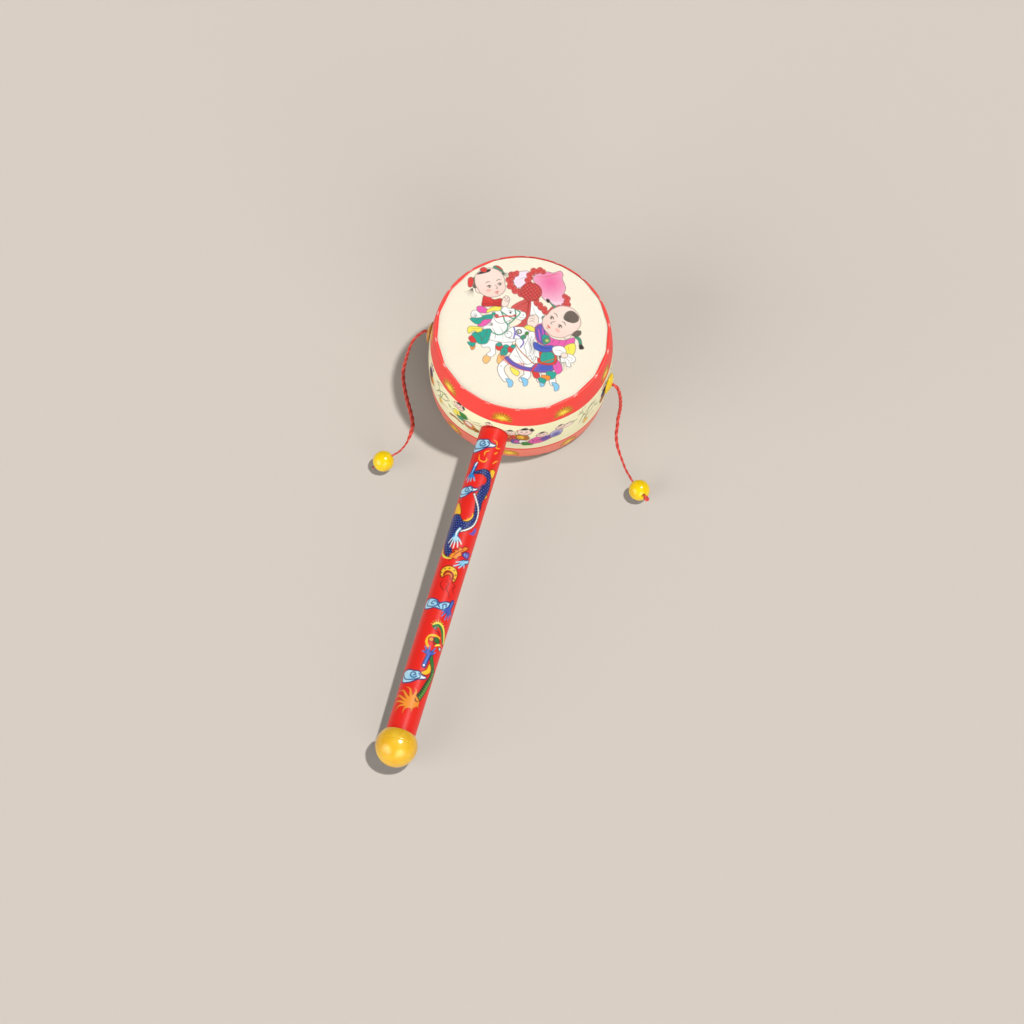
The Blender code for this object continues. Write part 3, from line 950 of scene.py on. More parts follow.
class Print:
    # the colours of one sheet at its points; shapes are drawn about a spot on the sheet
    def __init__(self, points, ground, period=None, soft=0.24, line=0.26):
        self.points = points
        self.colours = np.tile(linear(inks[ground]), (len(points), 1))
        self.period = period
        self.soft = soft
        self.line = line
        self.at(0, 0)

    def at(self, x, y, turn=0, size=1, flip=1):
        # the next shapes' spot: its place, turn in degrees, size, and 1 or -1 to mirror
        angle = math.radians(turn)
        self.size = size
        self.place = np.array((x, y), float)
        self.axes = size * np.array([(flip * math.cos(angle), flip * math.sin(angle)),
                                     (-math.sin(angle), math.cos(angle))])
        return self

    def onSheet(self, points):
        return self.place + np.asarray(points, float) @ self.axes

    def near(self, shape, margin):
        # numbers of the points in the shape's box, and their places beside it
        middle = (shape.min(axis=0) + shape.max(axis=0)) / 2
        reach = (shape.max(axis=0) - shape.min(axis=0)) / 2 + margin + self.soft
        offset = self.points - middle
        if self.period:
            offset[:, 0] = (offset[:, 0] + self.period / 2) % self.period - self.period / 2
        found = np.flatnonzero((np.abs(offset) < reach).all(axis=1))
        return found, offset[found] + middle

    def cover(self, found, ink, depth):
        # ink laid where depth is over 0, with a soft edge
        share = np.clip(0.5 + depth / self.soft, 0, 1)[:, None]
        colour = ink if isinstance(ink, np.ndarray) else linear(inks[ink])
        self.colours[found] += (colour - self.colours[found]) * share

    def patch(self, ink, *points, edge="edge", fade=None, width=1.0, sharp=False):
        # a closed shape with an inked edge; fade is another ink, a place and a reach
        # over which the first ink turns to it
        shape = self.onSheet(points)
        if not sharp:
            shape = smoothLine(shape, 6, closed=True)
        found, beside = self.near(shape, self.line)
        if not len(found):
            return
        gap, _ = lineDistance(beside, np.vstack((shape, shape[:1])))
        depth = np.where(insideOf(beside, shape), gap, -gap)
        colour = linear(inks[ink])
        if fade:
            other, x, y, reach = fade
            away = np.hypot(*(beside - self.onSheet((x, y))).T) / (reach * self.size)
            share = np.clip(away, 0, 1)[:, None] ** 1.3
            colour = colour * (1 - share) + linear(inks[other]) * share
        self.cover(found, np.broadcast_to(colour, (len(found), 3)), depth)
        if edge:
            self.cover(found, edge, self.line * width / 2 - gap)

    def stroke(self, ink, width, *points, taper=0):
        # a line; tapered to nothing at its end (1) or at both ends (2)
        line = smoothLine(self.onSheet(points), 6) if len(points) > 2 else self.onSheet(points)
        width = width * self.size
        found, beside = self.near(line, width)
        if not len(found):
            return
        gap, along = lineDistance(beside, line)
        half = width / 2 * (1, 1 - along, np.sqrt(np.clip(4 * along * (1 - along), 0, 1)))[taper]
        self.cover(found, ink, half - gap)

    def strokes(self, ink, width, *lines, taper=0):
        # several lines of one ink and width
        for line in lines:
            self.stroke(ink, width, *line, taper=taper)

    def flick(self, ink, width, *points):
        # a line that is thin at both ends
        self.stroke(ink, width, *points, taper=2)

    def flicks(self, ink, width, *lines):
        # several such lines of one ink and width
        self.strokes(ink, width, *lines, taper=2)

    def edged(self, rim, rimWidth, ink, width, *points, taper=0):
        # a line of one ink on a wider one of another
        self.stroke(rim, rimWidth, *points, taper=taper)
        self.stroke(ink, width, *points, taper=taper)

    def scales(self, ink, step, share, *outline):
        # dots in staggered rows inside an outline, each with a radius of a share of the step
        shape = smoothLine(self.onSheet(outline), 6, closed=True)
        found, beside = self.near(shape, 0)
        inside = insideOf(beside, shape)
        found, (x, y) = found[inside], beside[inside].T / step
        row = np.floor(y)
        gap = np.hypot((x + 0.5 * (row % 2)) % 1 - 0.5, y % 1 - 0.5) * step
        self.cover(found, ink, share * step - gap)

    def oval(self, ink, x, y, wide, high, turn=0, edge="edge", fade=None):
        # an ellipse of half a width and half a height
        angle = np.arange(14) / 14 * math.tau
        a, b = wide * np.cos(angle), high * np.sin(angle)
        c, s = math.cos(math.radians(turn)), math.sin(math.radians(turn))
        self.patch(ink, *np.column_stack((x + a * c - b * s, y + a * s + b * c)), edge=edge,
                   fade=fade)

    def rays(self, ink, width, x, y, inner, outer, first, last, count, bend=0, taper=1):
        # strokes from an inner to an outer distance, at even angles between two
        for angle in np.radians(np.linspace(first, last, count)):
            steps = [(inner, 0), ((inner + outer) / 2, bend / 2), (outer, bend)]
            self.stroke(ink, width, *[(x + r * math.cos(angle + math.radians(b)),
                                       y + r * math.sin(angle + math.radians(b)))
                                      for r, b in steps], taper=taper)


def paintFace(p, x, y, turn, size, flip):
    # a calm child's face in three-quarter view: eyes a third of the head's radius under
    # its middle, the nose and the mouth at even steps below them
    p.at(x, y, turn, size, flip)
    p.oval("skin", -0.86, -0.36, 0.15, 0.22, 12)
    p.patch("skin", (-0.92, 0.10), (-0.78, 0.66), (-0.30, 0.98), (0.30, 1.0), (0.78, 0.66),
            (0.95, 0.12), (0.88, -0.30), (0.86, -0.62), (0.56, -0.94), (0.14, -1.06),
            (-0.34, -0.98), (-0.72, -0.66), (-0.84, -0.28), fade=("blush", 0, 0.4, 3.2))
    p.oval("blush", -0.22, -0.52, 0.16, 0.10, 0, edge=None)
    for eye in (-0.12, 0.56):
        p.flick("edge", 0.045, (eye - 0.17, 0.0), (eye, 0.08), (eye + 0.17, 0.02))
        p.flick("black", 0.06, (eye - 0.15, -0.25), (eye, -0.18), (eye + 0.16, -0.24))
        p.oval("black", eye + 0.02, -0.27, 0.05, 0.055, edge=None)
        p.flick("edge", 0.03, (eye - 0.11, -0.32), (eye, -0.34), (eye + 0.12, -0.31))
    p.flick("edge", 0.04, (0.26, -0.22), (0.36, -0.48), (0.22, -0.54))
    p.flick("scarlet", 0.085, (0.12, -0.73), (0.24, -0.76), (0.38, -0.71))
    p.flick("edge", 0.03, (0.15, -0.86), (0.24, -0.88), (0.33, -0.85))


def paintLeftChild(p):
    # feet, trousers, sash, scarves and shirt from below, then the head with its tufts
    p.at(0, 0)
    p.patch("orange", (-21.3, -7.8), (-19.4, -7.2), (-19.6, -8.8), (-20.6, -9.6))
    p.patch("teal", (-22.6, -5.9), (-20.2, -6.0), (-18.9, -5.0), (-19.9, -7.9), (-21.6, -7.6))
    p.patch("scarlet", (-22.3, -3.9), (-20.4, -2.4), (-18.1, -3.6), (-18.6, -5.6), (-21.0, -5.9))
    p.patch("teal", (-21.0, -2.0), (-18.2, -0.2), (-13.4, 0.9), (-13.4, -2.4), (-14.6, -6.0),
            (-18.0, -6.4), (-19.6, -4.1))
    p.strokes("edge", 0.2, ((-19.6, -1.2), (-17.6, -2.6), (-16.5, -5.4)),
              ((-14.6, 0.2), (-15.4, -2.6), (-17.0, -4.6)))
    p.patch("yellow", (-22.9, -0.1), (-22.0, 1.5), (-17.6, 1.4), (-16.9, -0.2), (-18.8, -1.2),
            (-20.2, -0.4), (-22.3, -1.9))
    p.flick("ochre", 0.16, (-21.8, 0.8), (-19.6, 0.5), (-17.8, 0.9))
    p.patch("pink", (-18.9, 2.1), (-16.6, 4.9), (-13.2, 5.6), (-14.3, 3.6), (-16.4, 1.9))
    p.patch("teal", (-22.2, 5.2), (-20.1, 3.0), (-18.0, 3.0), (-16.6, 5.0), (-13.0, 5.8),
            (-13.4, 7.8), (-17.2, 6.9), (-19.2, 6.0))
    p.flick("edge", 0.18, (-19.9, 4.5), (-17.4, 5.6), (-14.2, 6.9))
    p.patch("white", (-21.2, 5.7), (-22.0, 7.4), (-20.9, 9.2), (-19.2, 8.9), (-17.2, 6.6),
            (-18.8, 5.8))
    p.rays("edge", 0.2, -18.8, 5.6, 1.2, 3.4, 118, 172, 5)
    p.patch("pink", (-19.6, 10.9), (-17.4, 11.4), (-15.4, 10.2), (-15.2, 8.4), (-17.6, 8.2),
            (-19.3, 9.0))
    p.patch("yellow", (-15.3, 9.6), (-12.6, 11.7), (-9.6, 11.9), (-10.2, 9.8), (-13.0, 9.5),
            (-15.2, 8.4))
    p.patch("scarlet", (-17.2, 16.3), (-15.6, 17.0), (-13.0, 15.0), (-9.8, 15.7), (-8.4, 13.8),
            (-9.6, 11.9), (-12.4, 11.8), (-14.8, 11.4), (-17.6, 11.6), (-17.6, 13.9),
            fade=("dark", -14.8, 15.2, 9))
    p.strokes("dark", 0.22, ((-17.4, 12.4), (-14.0, 12.8), (-11.6, 12.2), (-9.0, 12.8)),
              ((-13.2, 14.8), (-12.6, 13.6), (-10.2, 13.4)))
    p.patch("skin", (-9.4, 12.3), (-9.2, 15.4), (-7.9, 17.1), (-6.4, 16.3), (-6.4, 14.6),
            (-7.2, 12.2))
    p.strokes("edge", 0.2, ((-8.3, 15.0), (-7.2, 14.4), (-6.7, 15.3)),
              ((-8.6, 16.3), (-7.7, 15.5), (-7.1, 16.4)))
    # pigtails and tuft, each with a red bow
    p.rays("black", 0.32, -22.0, 19.6, 0.2, 4.0, 228, 290, 5, bend=-16)
    p.patch("hair", (-21.8, 24.8), (-20.2, 24.0), (-19.8, 21.4), (-20.6, 19.8), (-21.8, 20.2),
            (-21.4, 22.4), edge="black")
    p.patch("scarlet", (-23.9, 24.2), (-22.4, 24.8), (-21.7, 23.2), (-22.1, 20.6), (-23.4, 20.0),
            (-24.0, 21.4))
    p.rays("black", 0.30, -10.4, 28.0, 0.6, 4.6, -52, -8, 5, bend=14)
    paintFace(p, -14.9, 22.9, 18, 6.7, 1)
    p.at(0, 0)
    p.patch("black", (-20.4, 26.4), (-18.4, 28.2), (-15.2, 29.3), (-15.4, 28.2), (-17.8, 27.1))
    p.patch("scarlet", (-19.4, 28.9), (-18.0, 30.0), (-16.6, 29.4), (-16.8, 27.9), (-18.4, 27.7))
    p.patch("green", (-13.6, 30.9), (-11.8, 30.5), (-9.6, 28.6), (-9.3, 27.6), (-11.6, 29.2),
            (-13.8, 30.0))
    p.patch("scarlet", (-13.2, 31.2), (-11.4, 30.9), (-9.8, 29.2), (-10.9, 29.6), (-12.4, 30.5))


def paintPeach(p):
    # a lilac petal and a peach that pales towards its middle, at the picture's top
    p.at(0, 0)
    p.patch("lilac", (-5.3, 26.2), (-3.6, 28.7), (0.6, 29.6), (1.8, 27.6), (1.2, 24.6),
            (-1.0, 22.2), (-3.4, 21.2), (-4.9, 23.4))
    p.flick("grey", 0.3, (-2.8, 25.2), (-0.9, 26.3), (0.9, 26.2))
    p.patch("peach", (3.0, 25.4), (3.6, 27.8), (6.0, 29.4), (9.0, 29.9), (11.2, 29.5),
            (14.0, 30.7), (15.3, 29.2), (15.1, 27.0), (16.7, 22.9), (16.1, 19.4), (16.9, 15.8),
            (14.2, 13.9), (10.2, 15.2), (7.2, 17.6), (6.2, 21.4), fade=("pale", 10.2, 25.2, 12.6))
    p.flick("brick", 0.24, (4.0, 27.2), (8.0, 27.4), (12.0, 28.9), (14.4, 29.4))
    p.flick("pale", 1.2, (8.2, 17.4), (12.0, 15.3), (15.6, 15.9))


def spotsAlong(route, first, short, step):
    # spots at even steps along a smooth line, from a first distance to one short of its
    # end, each with the line's direction there
    line = smoothLine(route, 30)
    walked = walkedAlong(line)
    spots = np.searchsorted(walked, np.arange(first, walked[-1] - short, step)).clip(1)
    return zip(line[spots], unit(line[spots] - line[spots - 1]))


def leftOf(way):
    # a flat direction turned a quarter to its left
    return np.array((-way[1], way[0]))


def ribbon(p, width, *points):
    # a gathered ribbon: lobes to either side in turn, and dark folds across it
    folds = []
    side = width
    for spot, way in spotsAlong(points, 0.1, 0, 0.62 * width):
        across, along = side * leftOf(way), width * way
        turn = math.degrees(math.atan2(way[1], way[0]))
        p.oval("brick", *(spot + 0.26 * across), 0.56 * width, 0.48 * width, turn, edge="dark")
        folds.append((spot - 0.3 * across - 0.2 * along, spot, spot + 0.6 * across + 0.25 * along))
        side = -side
    p.stroke("brick", 0.86 * width, *points)
    p.flicks("dark", 0.26, *folds)
    p.flick("scarlet", 0.2 * width, *points)


def paintKnot(p):
    # red ribbons tied round a woven ball, over a white cloth
    p.at(0, 0)
    ribbon(p, 2.1, (0.9, 22.4), (1.2, 26.4), (2.6, 29.4), (5.0, 30.2), (7.2, 30.1))
    ribbon(p, 2.3, (-1.4, 18.6), (-5.0, 20.6), (-6.8, 23.6), (-5.9, 27.0), (-3.9, 28.6))
    ribbon(p, 2.1, (12.0, 11.8), (15.6, 13.4), (17.8, 15.4), (17.0, 18.8))
    p.patch("white", (2.6, 15.4), (5.0, 13.2), (8.6, 9.0), (8.0, 5.2), (4.4, 2.6), (1.4, 4.4),
            (1.6, 9.0))
    p.flick("grey", 0.26, (3.4, 13.0), (4.8, 9.6), (7.4, 6.8))
    ribbon(p, 2.1, (4.4, 15.8), (6.4, 13.4), (8.6, 11.4), (10.2, 9.6), (12.2, 11.8))
    # the hanging tassel
    p.patch("brick", (2.4, 16.2), (-1.4, 15.2), (-5.2, 12.2), (-4.6, 10.6), (-1.6, 10.8),
            (-0.2, 8.8), (-1.2, 4.6), (-4.8, 1.9), (-4.4, -0.2), (-0.6, -0.2), (1.8, 2.0),
            (2.4, 7.4), edge="dark")
    for x, y in ((-4.0, 11.6), (-2.0, 12.0), (-0.6, 10.0), (0.4, 7.0), (0.4, 3.6), (-1.4, 1.2)):
        p.stroke("dark", 0.24, (2.0, 15.6), ((2.0 + x) / 2 + 0.5, (15.6 + y) / 2 + 0.5), (x, y),
                 taper=1)
    # the woven ball
    p.oval("brick", 2.4, 19.8, 4.5, 4.4, edge="dark")
    for shift in range(-3, 4):
        for turn in (38, 128):
            p.at(2.4, 19.8, turn)
            reach = math.sqrt(4.1 ** 2 - (shift * 1.15) ** 2) if abs(shift) < 3.6 else 1.0
            p.stroke("dark", 0.24, (-reach, shift * 1.15), (0, shift * 1.3), (reach, shift * 1.15))
    p.at(2.4, 19.8, 38)
    for a in range(-3, 4):
        for b in range(-3, 4):
            if (a * a + b * b) * 1.35 < 12.5 and (a + b) % 2:
                p.oval("scarlet", a * 1.15 + 0.5, b * 1.15 + 0.5, 0.42, 0.34, edge=None)
    p.at(0, 0)
    p.patch("black", (8.9, 16.9), (10.1, 16.7), (10.5, 15.6), (9.4, 15.3))
    p.patch("green", (10.3, 15.8), (12.4, 14.0), (15.0, 12.6), (14.6, 11.8), (12.2, 13.0))
    p.oval("green", 8.4, 7.8, 0.95, 0.95)
    p.oval("white", 8.4, 7.8, 0.45, 0.45)


def paintHorseOne(p):
    # the far horse, under the left child: body, legs, neck and head with a green bridle
    p.at(0, 0)
    for x, top, low in ((-13.9, -11.6, -14.0), (-8.0, -10.6, -14.1)):
        p.patch("apricot", (x - 1.5, top - 0.6), (x + 0.3, top + 0.4), (x + 1.2, low + 0.6),
                (x - 0.4, low - 1.5), (x - 1.9, low - 0.3))
    p.patch("white", (-14.9, -1.6), (-11.6, -1.2), (-9.8, -4.6), (-10.9, -8.2), (-10.8, -10.6),
            (-12.6, -12.3), (-14.4, -11.2), (-12.9, -9.4), (-13.6, -7.8), (-16.3, -7.9),
            (-16.9, -5.4))
    p.patch("white", (-9.6, -3.4), (-4.4, -3.8), (-4.8, -8.0), (-7.2, -11.2), (-9.0, -10.4),
            (-7.8, -7.2))
    p.patch("white", (-16.4, 3.0), (-13.6, 6.4), (-11.0, 8.6), (-6.0, 7.0), (-5.6, 2.6),
            (-3.0, 0.4), (-2.6, -3.6), (-6.0, -4.9), (-10.6, -4.8), (-14.8, -3.6), (-16.2, 0.2))
    p.flick("edge", 0.22, (-12.8, 1.6), (-11.2, -1.4), (-11.6, -4.0))
    p.flicks("grey", 0.3, ((-9.8, 2.4), (-8.2, -0.4), (-8.4, -3.4)),
             ((-5.6, -0.4), (-5.0, -2.4), (-5.8, -3.8)))
    p.rays("edge", 0.24, -12.0, 3.0, 0.8, 4.4, 150, 205, 5, bend=-20)
    p.patch("white", (-12.2, 6.0), (-12.0, 9.4), (-9.6, 10.9), (-8.2, 13.2), (-6.8, 11.4),
            (-4.4, 11.3), (-2.6, 10.4), (0.4, 9.8), (0.9, 7.6), (-0.8, 6.0), (-3.4, 6.6),
            (-5.6, 5.6), (-8.4, 4.0), (-10.6, 4.2))
    p.rays("edge", 0.26, -10.0, 10.0, 0.4, 3.6, 40, 175, 7, bend=24)
    p.oval("black", -5.6, 9.3, 0.42, 0.5, 20, edge=None)
    p.flick("edge", 0.24, (-6.8, 9.9), (-5.6, 10.2), (-4.5, 9.6))
    p.oval("black", -0.2, 8.5, 0.28, 0.2, edge=None)
    p.flick("edge", 0.2, (0.5, 7.3), (-0.9, 7.1), (-1.8, 7.6))
    p.strokes("green", 0.56, ((-9.6, 9.8), (-8.4, 7.2), (-7.8, 5.2), (-6.4, 3.4), (-6.7, 0.8),
               (-9.2, -1.5), (-11.8, -1.1), (-13.9, 0.7)),
              ((-9.0, 9.2), (-6.6, 7.6), (-3.9, 6.7), (-1.6, 9.3), (-2.8, 10.6)),
              ((-3.8, 10.8), (-3.4, 9.0), (-3.6, 6.8), (-5.0, 4.8), (-6.6, 3.6)))
    p.stroke("scarlet", 0.6, (-11.4, 6.4), (-8.4, 7.4), (-5.2, 7.6), (-3.7, 8.0))
    p.oval("brick", -11.3, 7.3, 0.85, 0.8)
    p.oval("teal", -12.5, 8.2, 0.8, 0.7)
    p.oval("scarlet", -3.7, 8.0, 0.5, 0.5)
    # chest garland with a tassel
    p.patch("scarlet", (-10.8, -6.4), (-8.4, -6.7), (-5.0, -6.7), (-1.9, -6.6), (-2.2, -8.4),
            (-3.6, -9.8), (-5.6, -9.4), (-8.8, -9.2), (-10.6, -8.4))
    for x, y in ((-9.5, -6.2), (-6.6, -6.9), (-3.5, -6.6)):
        p.oval("teal", x, y, 1.25, 0.9, 10)
    p.patch("teal", (-8.5, -8.2), (-7.0, -7.5), (-5.7, -8.3), (-6.2, -10.8), (-8.4, -11.2))
    p.rays("edge", 0.2, -7.2, -8.2, 0.8, 2.8, 250, 290, 3)


def paintHorseTwo(p):
    # the near horse, facing left: tail, legs, body, harness and leg cloths, then its
    # neck, mane and head
    p.at(0, 0)
    p.rays("grey", 0.55, 15.4, -9.6, 0.4, 7.4, -58, 6, 8, bend=-26)
    p.rays("edge", 0.24, 15.4, -9.6, 0.4, 7.8, -64, 12, 8, bend=-30)
    hooves = ((-3.9, -24.2), (2.2, -23.2), (9.2, -22.9), (15.1, -24.5))
    legs = (((-4.2, -12.0), (-7.9, -16.2), (-7.7, -19.4), (-5.9, -22.2)),
            ((4.2, -13.2), (2.7, -17.2), (2.9, -19.8), (0.9, -21.8)),
            ((6.4, -14.4), (6.0, -17.6), (7.6, -19.6), (8.2, -21.4)),
            ((12.6, -9.8), (14.2, -14.8), (13.0, -18.8), (13.6, -22.4)))
    for (hip, knee, shin, ankle), (x, y) in zip(legs, hooves):
        p.edged("edge", 3.0, "white", 2.5, hip, knee, shin, ankle)
        p.patch("sky", (x - 2.0, y + 2.2), (x, y + 2.0), (x + 1.1, y + 0.9), (x + 0.9, y - 1.1),
                (x - 0.6, y - 1.7), (x - 1.0, y + 0.1))
        p.flick("edge", 0.2, np.add(knee, (-0.6, 0.4)), np.add(knee, (0.4, -0.4)))
    p.patch("white", (-5.4, -12.2), (-3.8, -8.8), (-1.6, -5.0), (2.0, -0.6), (7.0, -2.0),
            (8.0, -8.0), (9.0, -14.0), (3.4, -16.0), (-1.8, -15.2), (-5.2, -13.6))
    p.patch("white", (5.0, -6.0), (12.6, -7.4), (15.0, -10.6), (14.0, -16.2), (8.0, -16.6),
            (4.8, -13.0))
    p.flick("grey", 0.3, (-3.4, -10.4), (-1.4, -11.4), (0.6, -11.4))
    p.flick("edge", 0.2, (-1.0, -12.4), (0.8, -14.6), (3.4, -14.4))
    # harness: a purple girth with a red fringe, saddle cloths and the rein
    p.rays("scarlet", 0.34, -1.0, -6.4, 8.0, 9.6, 216, 284, 15, taper=0)
    p.edged("edge", 1.9, "purple", 1.5, (-5.9, -12.2), (-3.6, -14.4), (0.0, -16.2), (4.4, -16.9),
            (7.4, -16.6))
    p.stroke("scarlet", 0.3, (-6.4, -13.4), (-4.0, -15.5), (-0.2, -17.2), (4.4, -17.9))
    p.patch("yellow", (-4.4, -16.4), (-2.6, -16.9), (-0.4, -18.4), (-1.2, -20.4), (-3.4, -19.0))
    p.patch("purple", (5.6, -14.4), (9.4, -13.6), (13.6, -13.8), (13.0, -17.2), (8.2, -18.0),
            (4.6, -17.0))
    p.patch("blue", (8.2, -15.0), (12.6, -14.4), (12.2, -16.4), (8.0, -16.9), edge=None)
    p.patch("pink", (12.6, -10.6), (15.8, -12.4), (17.2, -16.2), (15.0, -18.2), (12.9, -14.0))
    p.stroke("edge", 0.2, (13.6, -12.0), (15.2, -15.6), taper=1)
    p.patch("scarlet", (8.0, -7.6), (13.6, -7.8), (14.6, -13.0), (10.6, -14.4), (6.8, -13.0))
    p.patch("teal", (8.7, -8.3), (12.8, -8.4), (13.6, -12.2), (10.8, -13.4), (8.0, -12.4))
    p.stroke("edge", 0.2, (9.8, -9.2), (10.6, -12.6), taper=1)
    # boot and leg cloths
    p.stroke("scarlet", 0.7, (6.4, -14.6), (4.9, -17.4), (6.6, -20.2), (10.2, -20.8))
    p.patch("scarlet", (5.0, -18.0), (7.6, -18.2), (8.0, -20.6), (5.8, -20.6))
    p.patch("teal", (10.8, -17.4), (14.6, -17.6), (14.0, -20.4), (11.4, -20.6))
    p.patch("orange", (8.8, -19.2), (12.2, -19.4), (12.0, -21.4), (9.2, -21.2))
    p.patch("teal", (7.6, -20.4), (10.6, -21.0), (10.2, -23.0), (8.0, -22.2))
    # neck with its mane, then the head
    p.patch("white", (-2.6, -6.4), (-2.2, -1.0), (0.4, 2.4), (5.4, 2.0), (6.6, -4.0),
            (5.8, -12.0), (2.2, -14.6), (-1.0, -10.4))
    p.flick("edge", 0.24, (5.9, -12.0), (6.6, -4.4), (5.2, 2.0))
    p.patch("white", (2.6, 0.6), (4.8, 0.9), (6.6, -0.8), (6.2, -4.2), (7.0, -8.0), (7.4, -11.2),
            (5.6, -10.6), (4.6, -12.4), (3.6, -10.4), (2.2, -11.2), (1.7, -8.2), (0.9, -6.4),
            (2.2, -3.0))
    for k in range(5):
        x, y = 3.2 + 0.62 * k, -0.8 - 0.2 * k
        p.flick("edge" if k % 2 else "grey", 0.3, (x, y), (x - 0.6, y - 3.2), (x + 0.1, y - 6.2),
                (x - 0.6, y - 9.0))
    p.patch("white", (-5.0, 2.2), (-2.0, 2.8), (1.6, 2.4), (2.4, -0.2), (-0.6, -2.6), (-3.0, -3.0),
            (-5.4, -2.8), (-6.9, -1.8), (-6.6, 0.2))
    p.oval("white", -5.9, -1.1, 1.5, 1.5)
    p.strokes("purple", 0.6, ((-3.8, 2.4), (-3.2, 0.0), (-3.6, -2.8)),
              ((-3.4, -0.4), (-0.8, -2.0), (0.6, -4.4), (-0.6, -6.8)))
    p.oval("black", -1.6, 0.5, 1.25, 1.2, edge=None)
    p.oval("white", -1.6, 0.5, 0.75, 0.7, edge=None)
    p.oval("black", -1.8, 0.4, 0.34, 0.34, edge=None)
    p.oval("black", -6.4, -0.6, 0.26, 0.22, edge=None)
    p.oval("green", 0.3, -1.9, 1.3, 1.0, 35)
    p.oval("leaf", 1.6, 0.0, 0.9, 0.7, 60)
    p.stroke("ochre", 0.44, (-2.8, -5.2), (-0.6, -8.4), (3.4, -12.4), (5.4, -13.9), (9.6, -12.9),
             (14.6, -10.8))
    p.patch("white", (0.6, 2.6), (2.0, 4.4), (4.6, 4.4), (6.2, 2.4), (4.0, 1.2))
    p.flick("grey", 0.3, (1.6, 3.6), (3.2, 2.6), (4.8, 2.8))


def paintRightChild(p):
    # lifted hand in a yellow cuff, then the coat, sash, flower and cuff
    p.at(0, 0)
    p.patch("skin", (2.0, 3.6), (1.6, 6.0), (2.6, 8.4), (5.0, 9.0), (6.2, 7.0), (5.8, 4.0),
            (4.0, 2.8))
    for y in (5.6, 6.8, 8.0):
        p.flick("edge", 0.2, (2.4, y), (3.6, y + 0.5), (4.6, y - 0.2))
    p.patch("yellow", (0.3, 2.6), (2.2, 3.8), (4.8, 2.8), (5.4, 1.0), (3.0, 1.3))
    p.patch("pink", (5.2, 3.6), (8.2, 5.2), (9.4, 1.6), (12.6, -1.6), (17.6, -2.0), (21.4, -0.6),
            (21.2, -4.0), (18.2, -5.4), (14.2, -5.0), (10.0, -5.2), (6.2, -3.6), (5.0, 0.4))
    p.patch("purple", (5.4, 3.2), (8.0, 4.4), (9.4, 0.0), (9.4, -4.4), (6.6, -3.2), (5.4, 0.0))
    p.flick("pink", 0.5, (6.2, 2.6), (7.0, -0.4), (7.4, -3.2))
    p.flick("pink", 0.4, (8.0, 3.4), (8.4, 0.4), (8.6, -3.6))
    for x in (13.0, 15.6, 18.2):
        p.stroke("edge", 0.2, (x, -2.2), (x - 0.6, -3.8), (x - 1.6, -4.8), taper=1)
    p.patch("teal", (8.2, -0.4), (10.8, -0.6), (11.2, -3.6), (8.8, -4.6))
    p.oval("green", 10.2, -2.8, 1.5, 1.3)
    p.rays("yellow", 0.3, 10.2, -2.8, 0.1, 1.1, 0, 300, 6)
    p.patch("blue", (5.0, -3.8), (8.4, -5.2), (12.8, -5.0), (13.4, -7.0), (9.4, -8.4), (5.2, -7.0))
    p.flick("navy", 0.24, (6.0, -5.2), (9.0, -6.4), (12.6, -6.2))
    p.patch("yellow", (17.6, -5.0), (21.4, -3.2), (22.2, -6.0), (21.0, -9.0), (18.4, -8.6))
    p.stroke("ochre", 0.2, (19.2, -5.2), (19.8, -8.0), taper=1)
    p.patch("white", (12.6, -6.0), (16.0, -4.9), (18.2, -6.4), (17.8, -9.0), (14.0, -9.4))
    p.flick("grey", 0.3, (13.6, -7.2), (15.6, -7.0), (17.2, -8.0))
    p.patch("white", (16.6, -9.6), (18.6, -8.4), (21.0, -8.8), (22.4, -10.4), (21.8, -12.2),
            (20.4, -12.6), (20.6, -14.4), (18.8, -14.0), (18.4, -12.4), (16.6, -12.6), (16.2, -11.0))
    for curl in (((17.4, -9.8), (19.2, -9.6), (21.0, -10.6), (20.4, -11.8)),
                 ((17.2, -10.6), (18.6, -10.8), (19.8, -11.8), (19.4, -13.6)),
                 ((16.8, -11.6), (17.8, -11.4), (18.6, -12.0))):
        p.flick("grey", 0.3, *curl)
    p.patch("skin", (16.4, -8.4), (18.6, -8.2), (19.0, -9.9), (16.8, -10.4))
    # pigtail, head and hair
    p.edged("edge", 1.5, "green", 1.15, (22.2, -0.2), (23.6, -1.4), (24.2, -3.8))
    p.patch("black", (23.6, -3.8), (24.8, -3.8), (25.6, -5.4), (23.9, -5.8))
    paintFace(p, 16.0, 6.4, -46, 7.6, -1)
    p.at(0, 0)
    p.patch("hair", (16.7, 8.0), (17.6, 11.2), (20.2, 11.9), (22.6, 9.6), (22.5, 7.4), (20.2, 6.4),
            edge="black")
    p.rays("edge", 0.2, 16.8, 6.2, 1.6, 5.6, 22, 68, 6)
    p.patch("hair", (20.4, 0.5), (21.6, 2.4), (23.8, 2.9), (24.0, 1.2), (22.4, 0.0), edge="black")


def paintHead(points):
    # the upper head's picture on a cream ground, each part over those before it
    p = Print(points, "cream", line=0.2)
    for paint in (paintPeach, paintKnot, paintHorseOne, paintLeftChild, paintHorseTwo,
                  paintRightChild):
        paint(p)
    return p.colours


